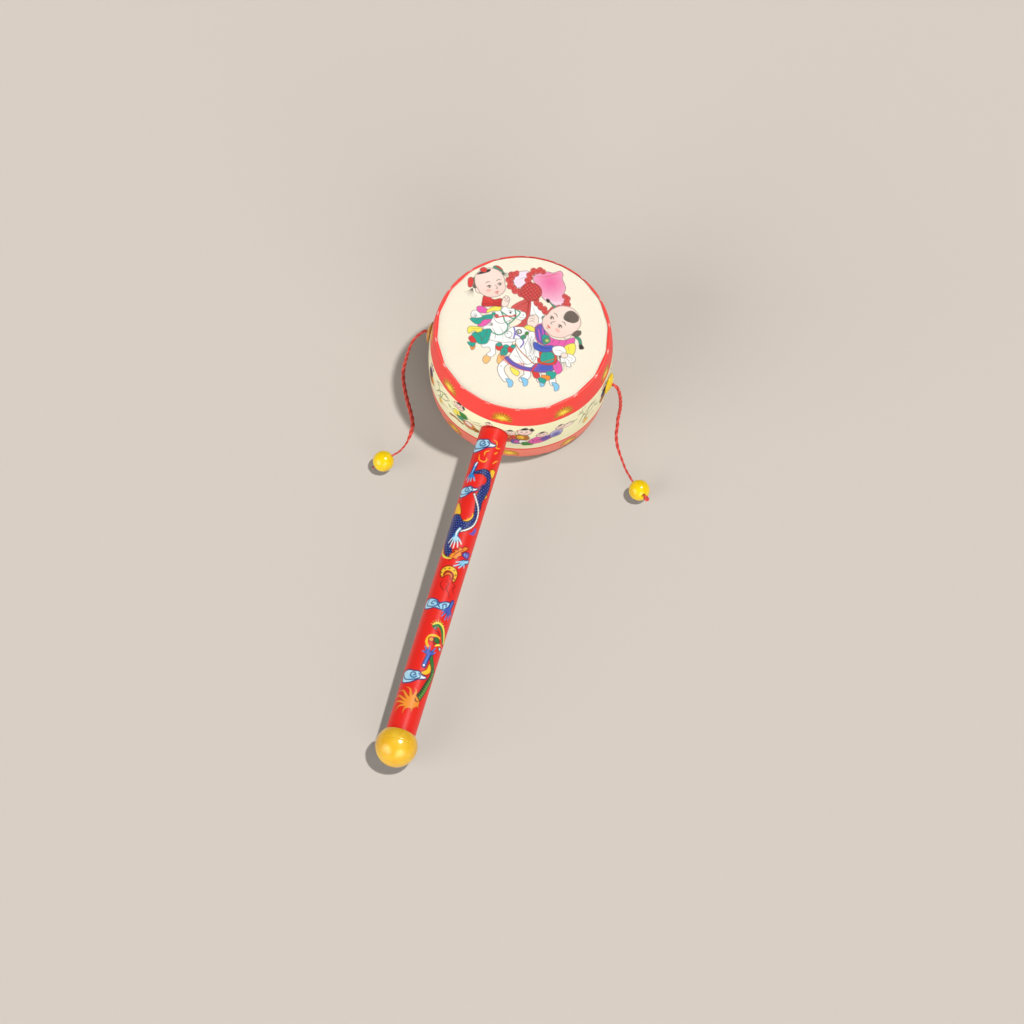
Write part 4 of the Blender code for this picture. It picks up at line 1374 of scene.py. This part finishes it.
def paintFlower(p, x, y, size=1.0):
    # a golden flower seen from its side: rays that fan up from a low middle, each a
    # yellow stroke on a wider dark one
    p.at(x, y, 0, size)
    p.rays("ochre", 0.85, 0, -2.0, 0.2, 4.0, -14, 194, 12, taper=0)
    p.rays("ochre", 0.6, 0, -2.0, 0.2, 1.9, 205, 335, 6)
    p.rays("gold", 0.62, 0, -2.0, 0.3, 5.0, -10, 190, 11, bend=5)
    p.rays("yellow", 0.4, 0, -1.6, 0.4, 3.0, 0, 180, 8, bend=-8)
    p.rays("gold", 0.45, 0, -2.0, 0.2, 1.8, 210, 330, 5)


def paintSmallHead(p, x, y, size, bun=False):
    # a small round head with a tuft, or a tuft and a bun, and strokes for its face
    p.at(x, y, 0, size)
    p.oval("skin", 0, 0, 1.0, 0.86, fade=("blush", 0, 0.3, 1.9))
    p.patch("black", (-0.56, 0.5), (-0.3, 0.98), (0.2, 1.1), (0.5, 0.7), (0.1, 0.52), edge=None)
    if bun:
        p.patch("black", (0.6, 0.65), (0.95, 0.95), (1.3, 0.3), (0.9, 0.1), edge=None)
        p.flick("brick", 0.2, (-0.9, 0.5), (-1.2, 0.1))
    for eye in (-0.4, 0.28):
        p.flick("edge", 0.17, (eye - 0.2, 0.06), (eye + 0.2, 0.02))
    p.flick("scarlet", 0.18, (-0.2, -0.4), (0.16, -0.4))
    p.flick("edge", 0.14, (-0.8, -0.5), (0, -0.85), (0.7, -0.6))


def paintPlayers(p, x):
    # children at play, one with a round drum and others who lie on the ground
    p.at(x, 0)
    p.patch("orange", (-1.6, 1.4), (2.6, 2.6), (4.4, 0.0), (2.4, -2.8), (-1.8, -3.2), (-3.4, -0.6))
    p.patch("brick", (-3.0, -1.6), (0.4, -1.4), (1.4, -3.8), (-2.6, -4.6))
    p.patch("scarlet", (0.6, 1.6), (2.8, 0.8), (2.2, -1.6), (0.2, -0.8), edge=None)
    p.patch("ochre", (3.0, 2.2), (6.6, 2.8), (8.4, -1.0), (6.0, -3.0), (3.0, -2.0))
    p.patch("gold", (3.4, 1.0), (5.4, 1.6), (6.2, -0.6), (4.0, -1.0), edge=None)
    p.patch("purple", (1.6, -1.8), (5.2, -2.6), (5.8, -5.4), (1.2, -5.2))
    p.patch("pink", (2.4, -2.8), (4.4, -3.2), (4.2, -4.6), (2.2, -4.4), edge=None)
    p.patch("white", (4.4, -2.4), (7.0, -2.6), (7.4, -5.0), (4.8, -5.4))
    p.patch("leaf", (5.6, -4.0), (9.6, -4.6), (10.2, -6.8), (6.0, -7.0))
    p.patch("pink", (9.0, -1.8), (12.4, 0.4), (15.6, -0.8), (18.0, 0.2), (19.0, -3.0), (14.4, -5.6),
            (10.0, -6.0), (8.0, -3.8))
    p.patch("purple", (13.0, -2.0), (16.6, -0.6), (18.6, -2.6), (14.6, -5.0), edge=None)
    p.patch("blue", (17.2, 0.6), (20.6, 2.0), (23.0, 0.0), (21.6, -3.4), (18.0, -3.4),
            fade=("lilac", 20, -2, 5))
    for number in range(9):
        u = 9.0 + number * 1.5
        p.flick("dark" if number % 2 else "navy", 0.26, (u, -1.4 - 0.6 * (number % 3)),
                (u + 1.2, -3.2), (u + 0.4, -5.0 + 0.15 * number))
    for number in range(5):
        u = -2.6 + number * 1.6
        p.flick("edge", 0.26, (u, 0.6), (u + 0.9, -1.4), (u - 0.3, -3.8))
    p.flicks("edge", 0.26, ((9.6, -2.6), (13.0, -3.0), (17.4, -1.8), (22.0, -1.6)),
             ((18.4, 0.4), (20.0, -1.2), (21.6, 0.0)))
    p.patch("skin", (21.8, 1.4), (24.4, 3.4), (28.0, 2.2), (27.4, 1.2), (24.6, 0.8))
    p.flick("black", 0.36, (24.0, 3.6), (26.0, 3.9), (28.6, 2.6), (30.4, 2.8))
    paintSmallHead(p, x + 0.2, 3.4, 2.3)
    paintSmallHead(p, x + 6.2, 4.6, 3.1, bun=True)
    paintSmallHead(p, x + 13.6, 1.0, 2.4)
    paintSmallHead(p, x + 21.6, 3.0, 2.0)


def paintDrummer(p, x):
    # a child with a stick and a barrel
    p.at(x, 0)
    p.patch("yellow", (-3.6, 2.2), (-1.0, 3.6), (0.4, 0.8), (-1.8, -1.8), (-4.0, 0.2))
    p.patch("leaf", (-0.6, 3.6), (2.6, 4.2), (3.8, 1.6), (1.2, 0.2))
    p.patch("green", (-1.6, -0.4), (1.2, 0.8), (2.2, -1.6), (-0.4, -2.4))
    p.flick("edge", 0.26, (-2.6, 2.4), (-1.2, 0.4), (-2.0, -1.0))
    p.flick("black", 0.3, (0.4, 2.8), (1.4, 1.4), (3.2, 2.4))
    p.edged("edge", 1.5, "ochre", 1.0, (-5.4, -5.0), (-2.4, -3.9), (1.4, -4.6))
    p.oval("orange", 4.9, -2.4, 3.2, 2.7, -20)
    p.oval("skin", 4.4, -1.7, 2.0, 1.6, -20)
    p.flick("brick", 0.4, (2.6, -1.4), (4.6, -3.0), (7.2, -3.2))
    p.flick("edge", 0.3, (2.4, -3.4), (5.0, -4.8), (7.8, -3.6))
    p.patch("ochre", (7.0, -2.8), (9.2, -2.2), (9.6, -4.2), (7.4, -4.8))
    p.flick("leaf", 0.3, (-5.6, 6.4), (-3.8, 4.4), (-2.6, 5.2))
    p.flick("edge", 0.26, (3.0, 3.0), (6.4, 2.4), (10.2, 4.4))
    p.flick("ochre", 0.4, (5.6, 0.8), (9.6, 1.6), (11.6, 0.4))
    p.flick("hair", 0.4, (8.8, 3.0), (11.6, 2.4), (13.4, 3.4))
    paintSmallHead(p, x - 1.2, 7.0, 2.6, bun=True)


def paintGarden(p, x):
    # rocks, a shrub and grass in thin lines with a few ochre leaves
    p.at(x, 0)
    p.flick("lime", 0.5, (-3.0, -4.4), (-1.4, -0.6), (-0.6, 3.0), (1.4, 5.8))
    p.flick("lime", 0.4, (-5.0, -1.6), (-3.6, 2.4), (-4.0, 6.2))
    p.flicks("hair", 0.4, ((-6.0, -2.6), (-3.4, 1.8), (-0.6, 4.6), (2.4, 6.6)),
             ((-4.8, -4.6), (-2.0, -1.0), (1.6, 1.2), (4.4, 5.0)))
    p.flick("hair", 0.34, (-3.4, 3.6), (-2.2, 1.0), (-2.8, -2.4))
    p.flick("ochre", 0.4, (-2.6, -6.4), (0.8, -3.6), (4.2, -2.8))
    p.rays("hair", 0.32, 2.2, 4.2, 0.6, 3.2, 20, 160, 6)
    p.rays("leaf", 0.34, 4.2, 0.6, 0.3, 2.4, -30, 110, 5)
    p.rays("hair", 0.3, -4.6, 4.8, 0.3, 2.6, 40, 150, 4)
    p.flick("edge", 0.26, (-6.4, 4.4), (-4.4, 7.2), (-1.6, 8.0))
    p.patch("gold", (-3.0, -3.6), (-1.2, -2.6), (-0.6, -4.8), (-2.6, -5.6), width=0.7)


def paintHermit(p, x):
    # a seated figure in dark blue and brown beside a rock
    p.at(x, 0)
    p.patch("ochre", (-3.8, -1.0), (-0.6, 0.6), (1.8, -1.6), (1.0, -4.6), (-2.6, -5.0))
    p.patch("navy", (-2.6, 3.4), (0.4, 4.4), (1.6, 1.4), (-0.2, -0.8), (-2.8, 0.4))
    p.patch("orange", (0.6, 0.8), (3.0, 0.2), (3.6, -2.6), (1.2, -3.4))
    p.flick("black", 0.4, (-2.2, 0.4), (0.0, 1.6), (2.2, 0.2))
    p.flick("edge", 0.3, (-1.8, -1.6), (0.2, -2.4), (1.0, -4.4))
    paintSmallHead(p, x - 0.6, 6.0, 1.9, bun=True)


def paintSide(points):
    # bands, nine flowers round each red band, figures in the cream band twice round, a
    # painted highlight along the fold, and pale marks at the folded corners
    radius = drum["midRadius"] * millimetres
    girth = math.tau * radius
    p = Print(points, "coral", period=girth, line=0.24)
    v = points[:, 1]
    everywhere = np.arange(len(points))
    # the salmon lower band: print, lightened as painted reflection of the floor
    p.cover(everywhere, "salmon", -11.9 - v)
    for ink, low, high in (("red", -11.3, 9.95), ("sideCream", -10.7, 9.6)):
        p.cover(everywhere, ink, np.minimum(v - low, high - v))
    for number in range(9):
        x = -58.5 + number * girth / 9
        paintFlower(p, x, 14.9, 1.02)
        paintFlower(p, x + 4.5, -15.3, 1.0)
    figures = ((paintPlayers, -54.6), (paintGarden, -18.0), (paintHermit, -6.4),
               (paintGarden, 7.0), (paintHermit, 20.6), (paintGarden, 32.6),
               (paintDrummer, 164.0 - girth))
    for turn in (0, girth / 2):
        for paint, x in figures:
            paint(p, x + turn)
    paintSmallHead(p, 177.6, 6.2, 1.5)
    # painted highlight: a thin lighter line along the rounded fold
    p.cover(everywhere, "fold", 0.12 - np.abs(v - 21.0))
    # pale marks at each folded corner of the lip
    for number in range(drum["lipSides"]):
        turn = drum["lipTurn"] + number * 360 / drum["lipSides"]
        p.at(math.radians(turn) * radius, 20.9)
        p.flick("nick", 0.38, (-1.0, 0.5), (-0.4, -0.6), (0.1, 0.3), (0.6, -0.4), (1.1, 0.6))
    return p.colours


def paintCloud(p, x, y, turn, size):
    # a curled cloud with a tail to one side, a swirl and a line drawn in it
    p.at(x, y, turn, size)
    p.patch("sky", (-4.6, -3.2), (-5.6, -0.4), (-5.2, 2.2), (-2.4, 2.8), (-0.2, 2.3), (2.2, 2.3),
            (3.6, 1.0), (6.2, 0.5), (4.4, -0.9), (2.4, -1.5), (0.8, -2.6), (-1.4, -3.6),
            edge="navy", fade=("ice", 0, -0.8, 3.2), width=1.3)
    p.flick("white", 0.7, (3.0, 0.2), (4.4, -0.1), (5.8, 0.4))
    p.strokes("navy", 0.5, ((1.7, -0.2), (0.4, -1.0), (-1.1, -0.2), (-1.0, 1.2), (0.4, 1.5),
               (1.1, 0.5), (0.1, 0.1)),
              ((-5.2, 0.6), (-3.4, -1.7), (-0.6, -2.1), (2.2, -1.2), (3.2, 0.1), (2.2, 1.3)))


def paintClaw(p, ink, light, leg, toes):
    # a leg, and curved toes that run to points from its foot, each edged and lit
    p.at(0, 0)
    foot, knee = np.array(leg[-1]), np.array(leg[-2])
    ahead = unit(foot - knee)
    for colour, extra in (("navy", 0.95), (ink, 0.0)):
        p.stroke(colour, 1.15 + extra, *leg)
        for toe in toes:
            reach = np.array(toe) - foot
            bend = 0.16 * (ahead[0] * reach[1] - ahead[1] * reach[0])
            middle = foot + 0.5 * reach + bend * leftOf(ahead)
            p.stroke(colour, 1.15 + extra, foot, middle, toe, taper=1)
            if not extra:
                p.stroke(light, 0.42, middle, toe)
    p.flick(light, 0.42, *leg)


def paintTail(p, *route):
    # a green tail: dark ticks across its right half at even steps, lighter ones at its left
    p.at(0, 0)
    p.edged("black", 2.8, "pine", 2.1, *route)
    for spot, way in spotsAlong(route, 0.5, 0.3, 1.15):
        left, lit = leftOf(way), spot + 0.45 * way
        p.stroke("black", 0.56, spot - 1.1 * left, spot - 0.1 * left + 0.35 * way)
        p.stroke("lime", 0.44, lit, lit + 0.8 * left)


def paintSpine(p, *route):
    # a twisted white cord of short strokes on a black line
    p.at(0, 0)
    p.stroke("black", 1.05, *route)
    starts, ends = spotsAlong(route, 0.2, 0.9, 1.15), spotsAlong(route, 0.7, 0.4, 1.15)
    for (start, _), (end, _) in zip(starts, ends):
        p.stroke("white", 0.62, start, end)


def paintStick(points):
    # on the red stick: clouds, a blue dragon, a gold crest, and a green dragon whose tail
    # ends in a flame
    p = Print(points * (1, -1), "red", period=math.tau * stick["radius"] * millimetres,
              soft=0.26, line=0.42)
    p.cover(np.arange(len(points)), "cream", 37.6 - points[:, 1])
    for lick in (((0.9, -49.6), (-0.6, -50.8), (-0.6, -52.4)), ((4.6, -48.6), (3.4, -50.2)),
                 ((-2.9, -52.2), (-2.2, -54.6), (-0.3, -55.4), (0.9, -54.4), (0.5, -53.0)),
                 ((4.0, -54.6), (5.0, -53.0), (6.4, -52.0)),
                 ((1.2, -44.2), (3.0, -44.9), (3.4, -47.2), (5.4, -46.4))):
        p.edged("orange", 0.5, "gold", 0.3, *lick, taper=2)
    paintCloud(p, -3.0, -47.2, 4, 0.98)
    # blue dragon: gold fins, the body and its scales, strands and its white spine
    p.at(0, 0)
    for fin in (((3.8, -58.0), (5.3, -56.6), (6.9, -57.2), (6.4, -60.4), (5.1, -60.2)),
                ((4.4, -70.8), (4.9, -69.0), (6.6, -68.6), (6.0, -70.4)),
                ((-6.4, -75.0), (-4.4, -77.0), (-2.9, -80.9), (-6.4, -81.2), (-7.4, -78.0))):
        p.patch("gold", *fin, edge="dark")
    body = ((-2.6, -60.6), (-0.7, -59.5), (1.0, -58.5), (3.0, -58.4), (4.7, -59.8), (5.8, -62.4),
            (6.3, -65.8), (5.4, -69.6), (4.6, -73.0), (4.9, -76.6), (2.4, -76.6), (1.5, -72.0),
            (1.6, -69.2), (2.6, -66.4), (3.6, -64.0), (3.5, -62.2), (1.8, -61.2), (0.1, -61.0),
            (-1.9, -61.6))
    coil = ((-6.6, -80.8), (-3.3, -81.4), (-1.6, -83.4), (0.5, -84.2), (2.0, -82.6), (2.6, -79.6),
            (2.3, -77.0), (1.9, -73.0), (3.6, -75.4), (4.7, -77.8), (4.9, -81.8), (3.9, -85.0),
            (1.6, -87.8), (-0.9, -89.4), (-2.3, -90.4), (-2.6, -92.6), (-3.2, -95.0),
            (-2.3, -97.2), (-1.2, -99.4), (-0.6, -100.8), (-3.1, -100.9), (-5.3, -98.8),
            (-7.0, -95.4), (-7.9, -91.2), (-8.3, -86.4), (-8.0, -83.0))
    for shape in (body, coil):
        p.patch("navy", *shape, edge="black")
        p.scales("scale", 1.15, 0.2, *shape)
    for y in (-65.4, -66.2, -67.2):
        p.stroke("navy", 0.6, (2.9, y), (1.4, y - 1.4), (0.2, y - 2.8), taper=1)
    p.flick("black", 1.0, (2.3, -79.0), (2.3, -81.0), (1.0, -83.3), (-0.9, -84.0))
    p.flick("gold", 0.7, (2.1, -79.2), (2.2, -81.0), (0.9, -83.1), (-0.9, -83.8))
    p.stroke("gold", 0.4, (1.0, -82.8), (0.2, -82.0), taper=1)
    p.patch("purple", (5.2, -84.6), (4.2, -87.4), (3.0, -88.6), (5.4, -88.2), (6.4, -85.6), edge=None)
    paintSpine(p, (0.1, -70.6), (1.6, -72.9), (3.4, -75.6), (4.5, -78.4), (4.6, -81.8),
               (3.7, -84.8), (1.6, -87.4), (-1.2, -89.2))
    paintClaw(p, "azure", "sky", ((-3.1, -56.8), (-3.3, -59.0), (-3.8, -61.6)),
              ((-5.9, -64.2), (-4.6, -65.6), (-3.1, -65.2), (-1.4, -64.8)))
    p.stroke("white", 0.6, (-2.7, -56.2), (-3.1, -57.6))
    paintCloud(p, -3.4, -69.6, 14, 0.76)
    paintClaw(p, "ice", "white", ((-1.2, -87.8), (-1.9, -89.4), (-2.1, -91.4)),
              ((-4.4, -94.6), (-3.1, -96.6), (-1.5, -97.0), (0.2, -96.2), (1.3, -94.4)))
    p.flick("azure", 0.8, (-2.6, -90.4), (-3.0, -92.0))
    flame = ((-1.7, -99.6), (-0.2, -98.6), (-1.2, -97.7), (0.9, -97.4), (0.6, -95.9), (2.2, -96.2),
             (3.2, -94.6), (5.3, -94.6), (3.9, -96.6), (2.4, -98.0), (3.1, -99.2), (1.8, -100.2),
             (1.2, -101.8), (-0.4, -101.5), (-1.6, -102.9), (-2.3, -101.4))
    p.at(0, 0).patch("orange", *flame, edge="dark", sharp=True)
    p.flick("dark", 0.36, (-0.6, -101.0), (0.8, -98.6), (3.4, -96.0))
    p.patch("purple", (3.0, -98.6), (4.2, -97.0), (6.8, -96.4), (6.4, -98.6), (4.6, -99.4), edge="navy")
    for x in (4.0, 5.2):
        p.flick("sky", 0.34, (x, -97.4), (x + 0.4, -98.8))
    p.flick("black", 1.1, (-7.2, -96.2), (-6.5, -99.2), (-3.7, -101.4), (-0.8, -101.8))
    p.flick("yellow", 0.8, (-7.2, -96.2), (-6.5, -99.3), (-3.7, -101.6), (-0.8, -101.9))
    paintClaw(p, "sky", "ice", ((7.4, -99.6), (6.4, -100.4), (4.8, -101.2)),
              ((1.5, -102.8), (0.9, -105.0), (3.3, -104.8), (5.9, -103.4)))
    # gold crest with dots, and dark curls under it
    p.at(0, 0)
    p.patch("gold", (-2.7, -110.9), (-3.9, -108.8), (-3.3, -106.6), (-1.0, -105.3), (1.7, -105.5),
            (3.5, -107.1), (3.8, -109.4), (3.2, -111.6), (2.2, -111.2), (2.2, -109.2),
            (1.0, -107.9), (-1.1, -107.8), (-2.0, -109.2), (-1.8, -110.6), edge="dark", width=1.4)
    p.patch("orange", (-1.6, -110.8), (-1.4, -109.0), (-0.4, -108.3), (1.0, -108.5), (1.8, -109.8),
            (1.4, -111.0), (0.8, -109.6), (-0.6, -109.5), edge="dark")
    for x, y in ((-3.2, -108.8), (-2.2, -107.0), (-0.4, -106.4), (1.7, -106.8), (2.9, -108.4),
                 (2.9, -110.4)):
        p.oval("black", x, y, 0.36, 0.3, edge=None)
    for curl in (((-1.4, -112.0), (-2.1, -114.2), (-0.9, -115.9), (0.2, -117.0)),
                     ((-0.5, -111.8), (1.2, -113.4), (0.8, -115.6), (2.4, -117.4), (3.2, -119.6)),
                     ((1.9, -112.2), (4.2, -113.0), (3.4, -114.8), (4.9, -116.4))):
        p.flick("dark", 0.5, *curl)
    p.patch("sky", (-6.6, -125.4), (-7.0, -122.0), (-4.7, -120.9), (-1.6, -121.4), (0.0, -122.6),
            (2.2, -121.3), (4.6, -120.8), (5.6, -122.4), (3.6, -124.6), (1.0, -125.3),
            (-1.4, -125.1), (-3.9, -125.8), edge="navy", fade=("ice", 0, -122.5, 5), width=1.3)
    p.stroke("navy", 0.44, (-5.4, -121.6), (-5.3, -124.2), (-2.7, -124.7), (-0.8, -123.9),
             (-1.2, -122.4), (-2.9, -122.2), (-3.5, -123.3), (-2.3, -123.6))
    p.flick("navy", 0.5, (0.4, -122.2), (-0.2, -123.6), (0.9, -125.0))
    p.stroke("navy", 0.5, (1.9, -124.6), (1.6, -122.9), (2.8, -122.2), (3.0, -123.2))
    paintClaw(p, "blue", "azure", ((5.6, -119.8), (5.2, -121.6), (4.8, -123.4)),
              ((2.0, -125.9), (2.4, -127.9), (4.2, -128.8), (5.8, -127.9), (7.6, -125.9)))
    # green dragon: gold comb over its neck, eye and jaws, foot, fin, cloud, tail and flame
    p.at(0, 0)
    p.rays("dark", 0.9, 2.4, -133.0, 0.8, 3.6, 14, 172, 8)
    p.stroke("dark", 2.6, (0.9, -132.9), (2.4, -131.9), (4.5, -132.8), (6.2, -135.2), (7.6, -137.4))
    p.rays("yellow", 0.6, 2.4, -133.0, 0.8, 3.3, 16, 170, 8)
    p.stroke("yellow", 2.0, (0.9, -132.9), (2.4, -131.9), (4.5, -132.8), (6.3, -135.2), (7.7, -137.2))
    p.stroke("pine", 1.3, (0.6, -133.4), (2.3, -132.3), (4.2, -133.3), (5.7, -135.6), (7.0, -137.8))
    p.oval("white", 1.5, -133.9, 0.62, 0.5, edge="black")
    p.oval("black", 1.6, -133.9, 0.28, 0.28, edge=None)
    p.flick("dark", 0.6, (1.5, -135.2), (2.9, -135.0), (4.6, -136.6))
    p.stroke("gold", 1.0, (0.6, -142.6), (-0.5, -140.6), (0.0, -138.2), (2.0, -137.1), (4.4, -137.3))
    p.oval("orange", 1.1, -139.2, 1.1, 1.0, edge="dark")
    p.patch("pine", (2.4, -137.9), (4.2, -137.7), (5.2, -138.9), (4.0, -140.0), (2.6, -139.5),
            edge="black")
    p.flick("black", 0.5, (2.0, -139.6), (3.0, -140.8), (4.8, -140.8))
    p.flick("yellow", 0.8, (3.4, -141.4), (4.8, -140.2), (6.4, -139.6))
    p.oval("ice", 6.6, -141.2, 0.9, 0.7)
    p.edged("black", 2.2, "pine", 1.7, (3.2, -146.4), (4.6, -148.6), (6.4, -151.4))
    p.patch("gold", (1.1, -154.7), (2.9, -152.4), (3.4, -149.6), (4.6, -150.4), (5.4, -152.6),
            (3.3, -155.0), edge="dark")
    paintCloud(p, -1.6, -156.7, 4, 0.95)
    p.flick("orange", 1.4, (7.4, -153.6), (7.6, -158.0), (5.6, -162.6))
    paintTail(p, (6.6, -151.6), (6.7, -154.4), (5.5, -158.4), (4.4, -162.6), (3.0, -166.4))
    paintClaw(p, "blue", "azure", ((1.5, -151.4), (1.8, -148.6), (2.2, -145.8)),
              ((-0.9, -145.2), (-0.3, -142.9), (1.5, -142.3), (4.0, -142.1), (4.6, -143.8)))
    p.at(0, 0).oval("white", 1.4, -151.2, 0.42, 0.42, edge=None)
    tongues = ((0.6, -162.0), (-3.2, -162.2), (-6.8, -164.2), (-8.6, -167.6), (-8.0, -171.2),
               (-5.0, -173.8), (-1.2, -174.2), (2.4, -172.6), (5.0, -169.4))
    root = np.array((2.7, -166.8))
    for ink, width, shift in (("dark", 2.7, -0.45), ("orange", 2.0, 0.0)):
        for x, y in tongues:
            reach = (x, y) - root
            side = 0.10 * leftOf(reach)
            p.stroke(ink, width, root, root + 0.34 * reach + side, root + 0.7 * reach - side,
                     (x, y + shift), taper=1)
    p.oval("orange", 1.5, -167.0, 1.9, 1.8, edge=None)
    p.flick("black", 0.5, (2.0, -166.0), (2.6, -167.2), (3.8, -167.0))
    # the hidden underside repeats the clouds
    for v in (-64.0, -88.0, -112.0, -136.0, -160.0):
        paintCloud(p, 17.5, v, 0, 0.9)
    return p.colours


def paintLowerHead(points):
    # a peach between two leaves in the middle, and a ring of eight flowers
    p = Print(points, "cream", line=0.2)
    for flip in (-1, 1):
        p.at(0, 0, 0, 1.3, flip)
        p.patch("leaf", (7.0, -3.6), (9.4, -0.6), (8.6, 3.6), (5.6, 1.0), (3.6, -2.8))
    p.patch("peach", (0.0, 8.8), (-2.4, 6.4), (-6.2, 3.2), (-6.6, -1.4), (-3.4, -5.0), (0.0, -5.6),
            (3.4, -5.0), (6.6, -1.4), (6.2, 3.2), (2.4, 6.4), fade=("pale", 0, 5, 11))
    p.flick("brick", 0.26, (0.2, 8.2), (-1.4, 3.0), (-0.8, -2.0), (0.0, -5.2))
    for angle in np.radians(range(0, 360, 45)):
        paintFlower(p, 24 * math.cos(angle), 24 * math.sin(angle), 0.9)
    return p.colours


headPaper = paperFinish("printedHeadPaper", roughness=0.55, shine=0.4, grain=0.05,
                        grainSize=0.0009)
sidePaper = paperFinish("printedSidePaper", roughness=0.40, shine=0.24, grain=0.05,
                        grainSize=0.0006)
stickPaper = paperFinish("printedStickPaper", roughness=0.34, shine=0.4, grain=0.03,
                         grainSize=0.0006)
makeSide(drum, paintSide, sidePaper)
makeHead("painted_upper_head", 1, drum["headSteps"], drum, paintHead, headPaper, "printed_head")
makeHead("plain_lower_head", -1, drum["lowerHeadSteps"], drum, paintLowerHead, headPaper,
         "lower_head_paper")
makeStick(drum, stick, knob, paintStick, stickPaper)


# Floor, light and air
studio = {
    "floorSize": 30.0,
    "floorColour": (214, 204, 193),
    "suns": {                # each one: where it comes from, strength and degrees across
        "key": ((0.352, 0.09, 1.0), 2.13, 3.5),
        "leftFill": ((-0.66, -0.72, 0.26), 1.9, 50),
        "rightFill": ((0.56, -0.82, 0.26), 1.4, 50),
    },
    "air": 0.115,
    "airColour": (1.0, 0.98, 0.96),
}


def addSun(name, comesFrom, strength, width):
    # an even light along one direction, soft as from a disc of a width in degrees
    made = bpy.data.lights.new(name, "SUN")
    made.energy = strength
    made.angle = math.radians(width)
    back = unit(comesFrom)
    side = unit(np.cross((0, 1, 0) if abs(back[2]) > 0.9 else (0, 0, 1), back))
    show(name, made).matrix_world = standing(side, np.cross(back, side), back, back)


def makeStudio(s):
    # a plain square floor, the suns and a pale air all round
    half = s["floorSize"] / 2
    corners = [(-half, -half, 0), (half, -half, 0), (half, half, 0), (-half, half, 0)]
    mesh = bpy.data.meshes.new("floor")
    mesh.from_pydata(corners, [], [(0, 1, 2, 3)])
    mesh.materials.append(Finish("paleFloor", Base_Color=shade(s["floorColour"]), Roughness=0.9,
                                 Specular_IOR_Level=0.1).material)
    floor = show("floor", mesh)
    for name, (comesFrom, strength, width) in s["suns"].items():
        addSun(name, comesFrom, strength, width)
    world = bpy.data.worlds.new("air")
    world.use_nodes = True
    back = world.node_tree.nodes["Background"]
    back.inputs["Color"].default_value = (*s["airColour"], 1)
    back.inputs["Strength"].default_value = s["air"]
    bpy.context.scene.world = world
    bpy.context.scene.view_settings.view_transform = "Standard"
    print("studio made")


makeStudio(studio)
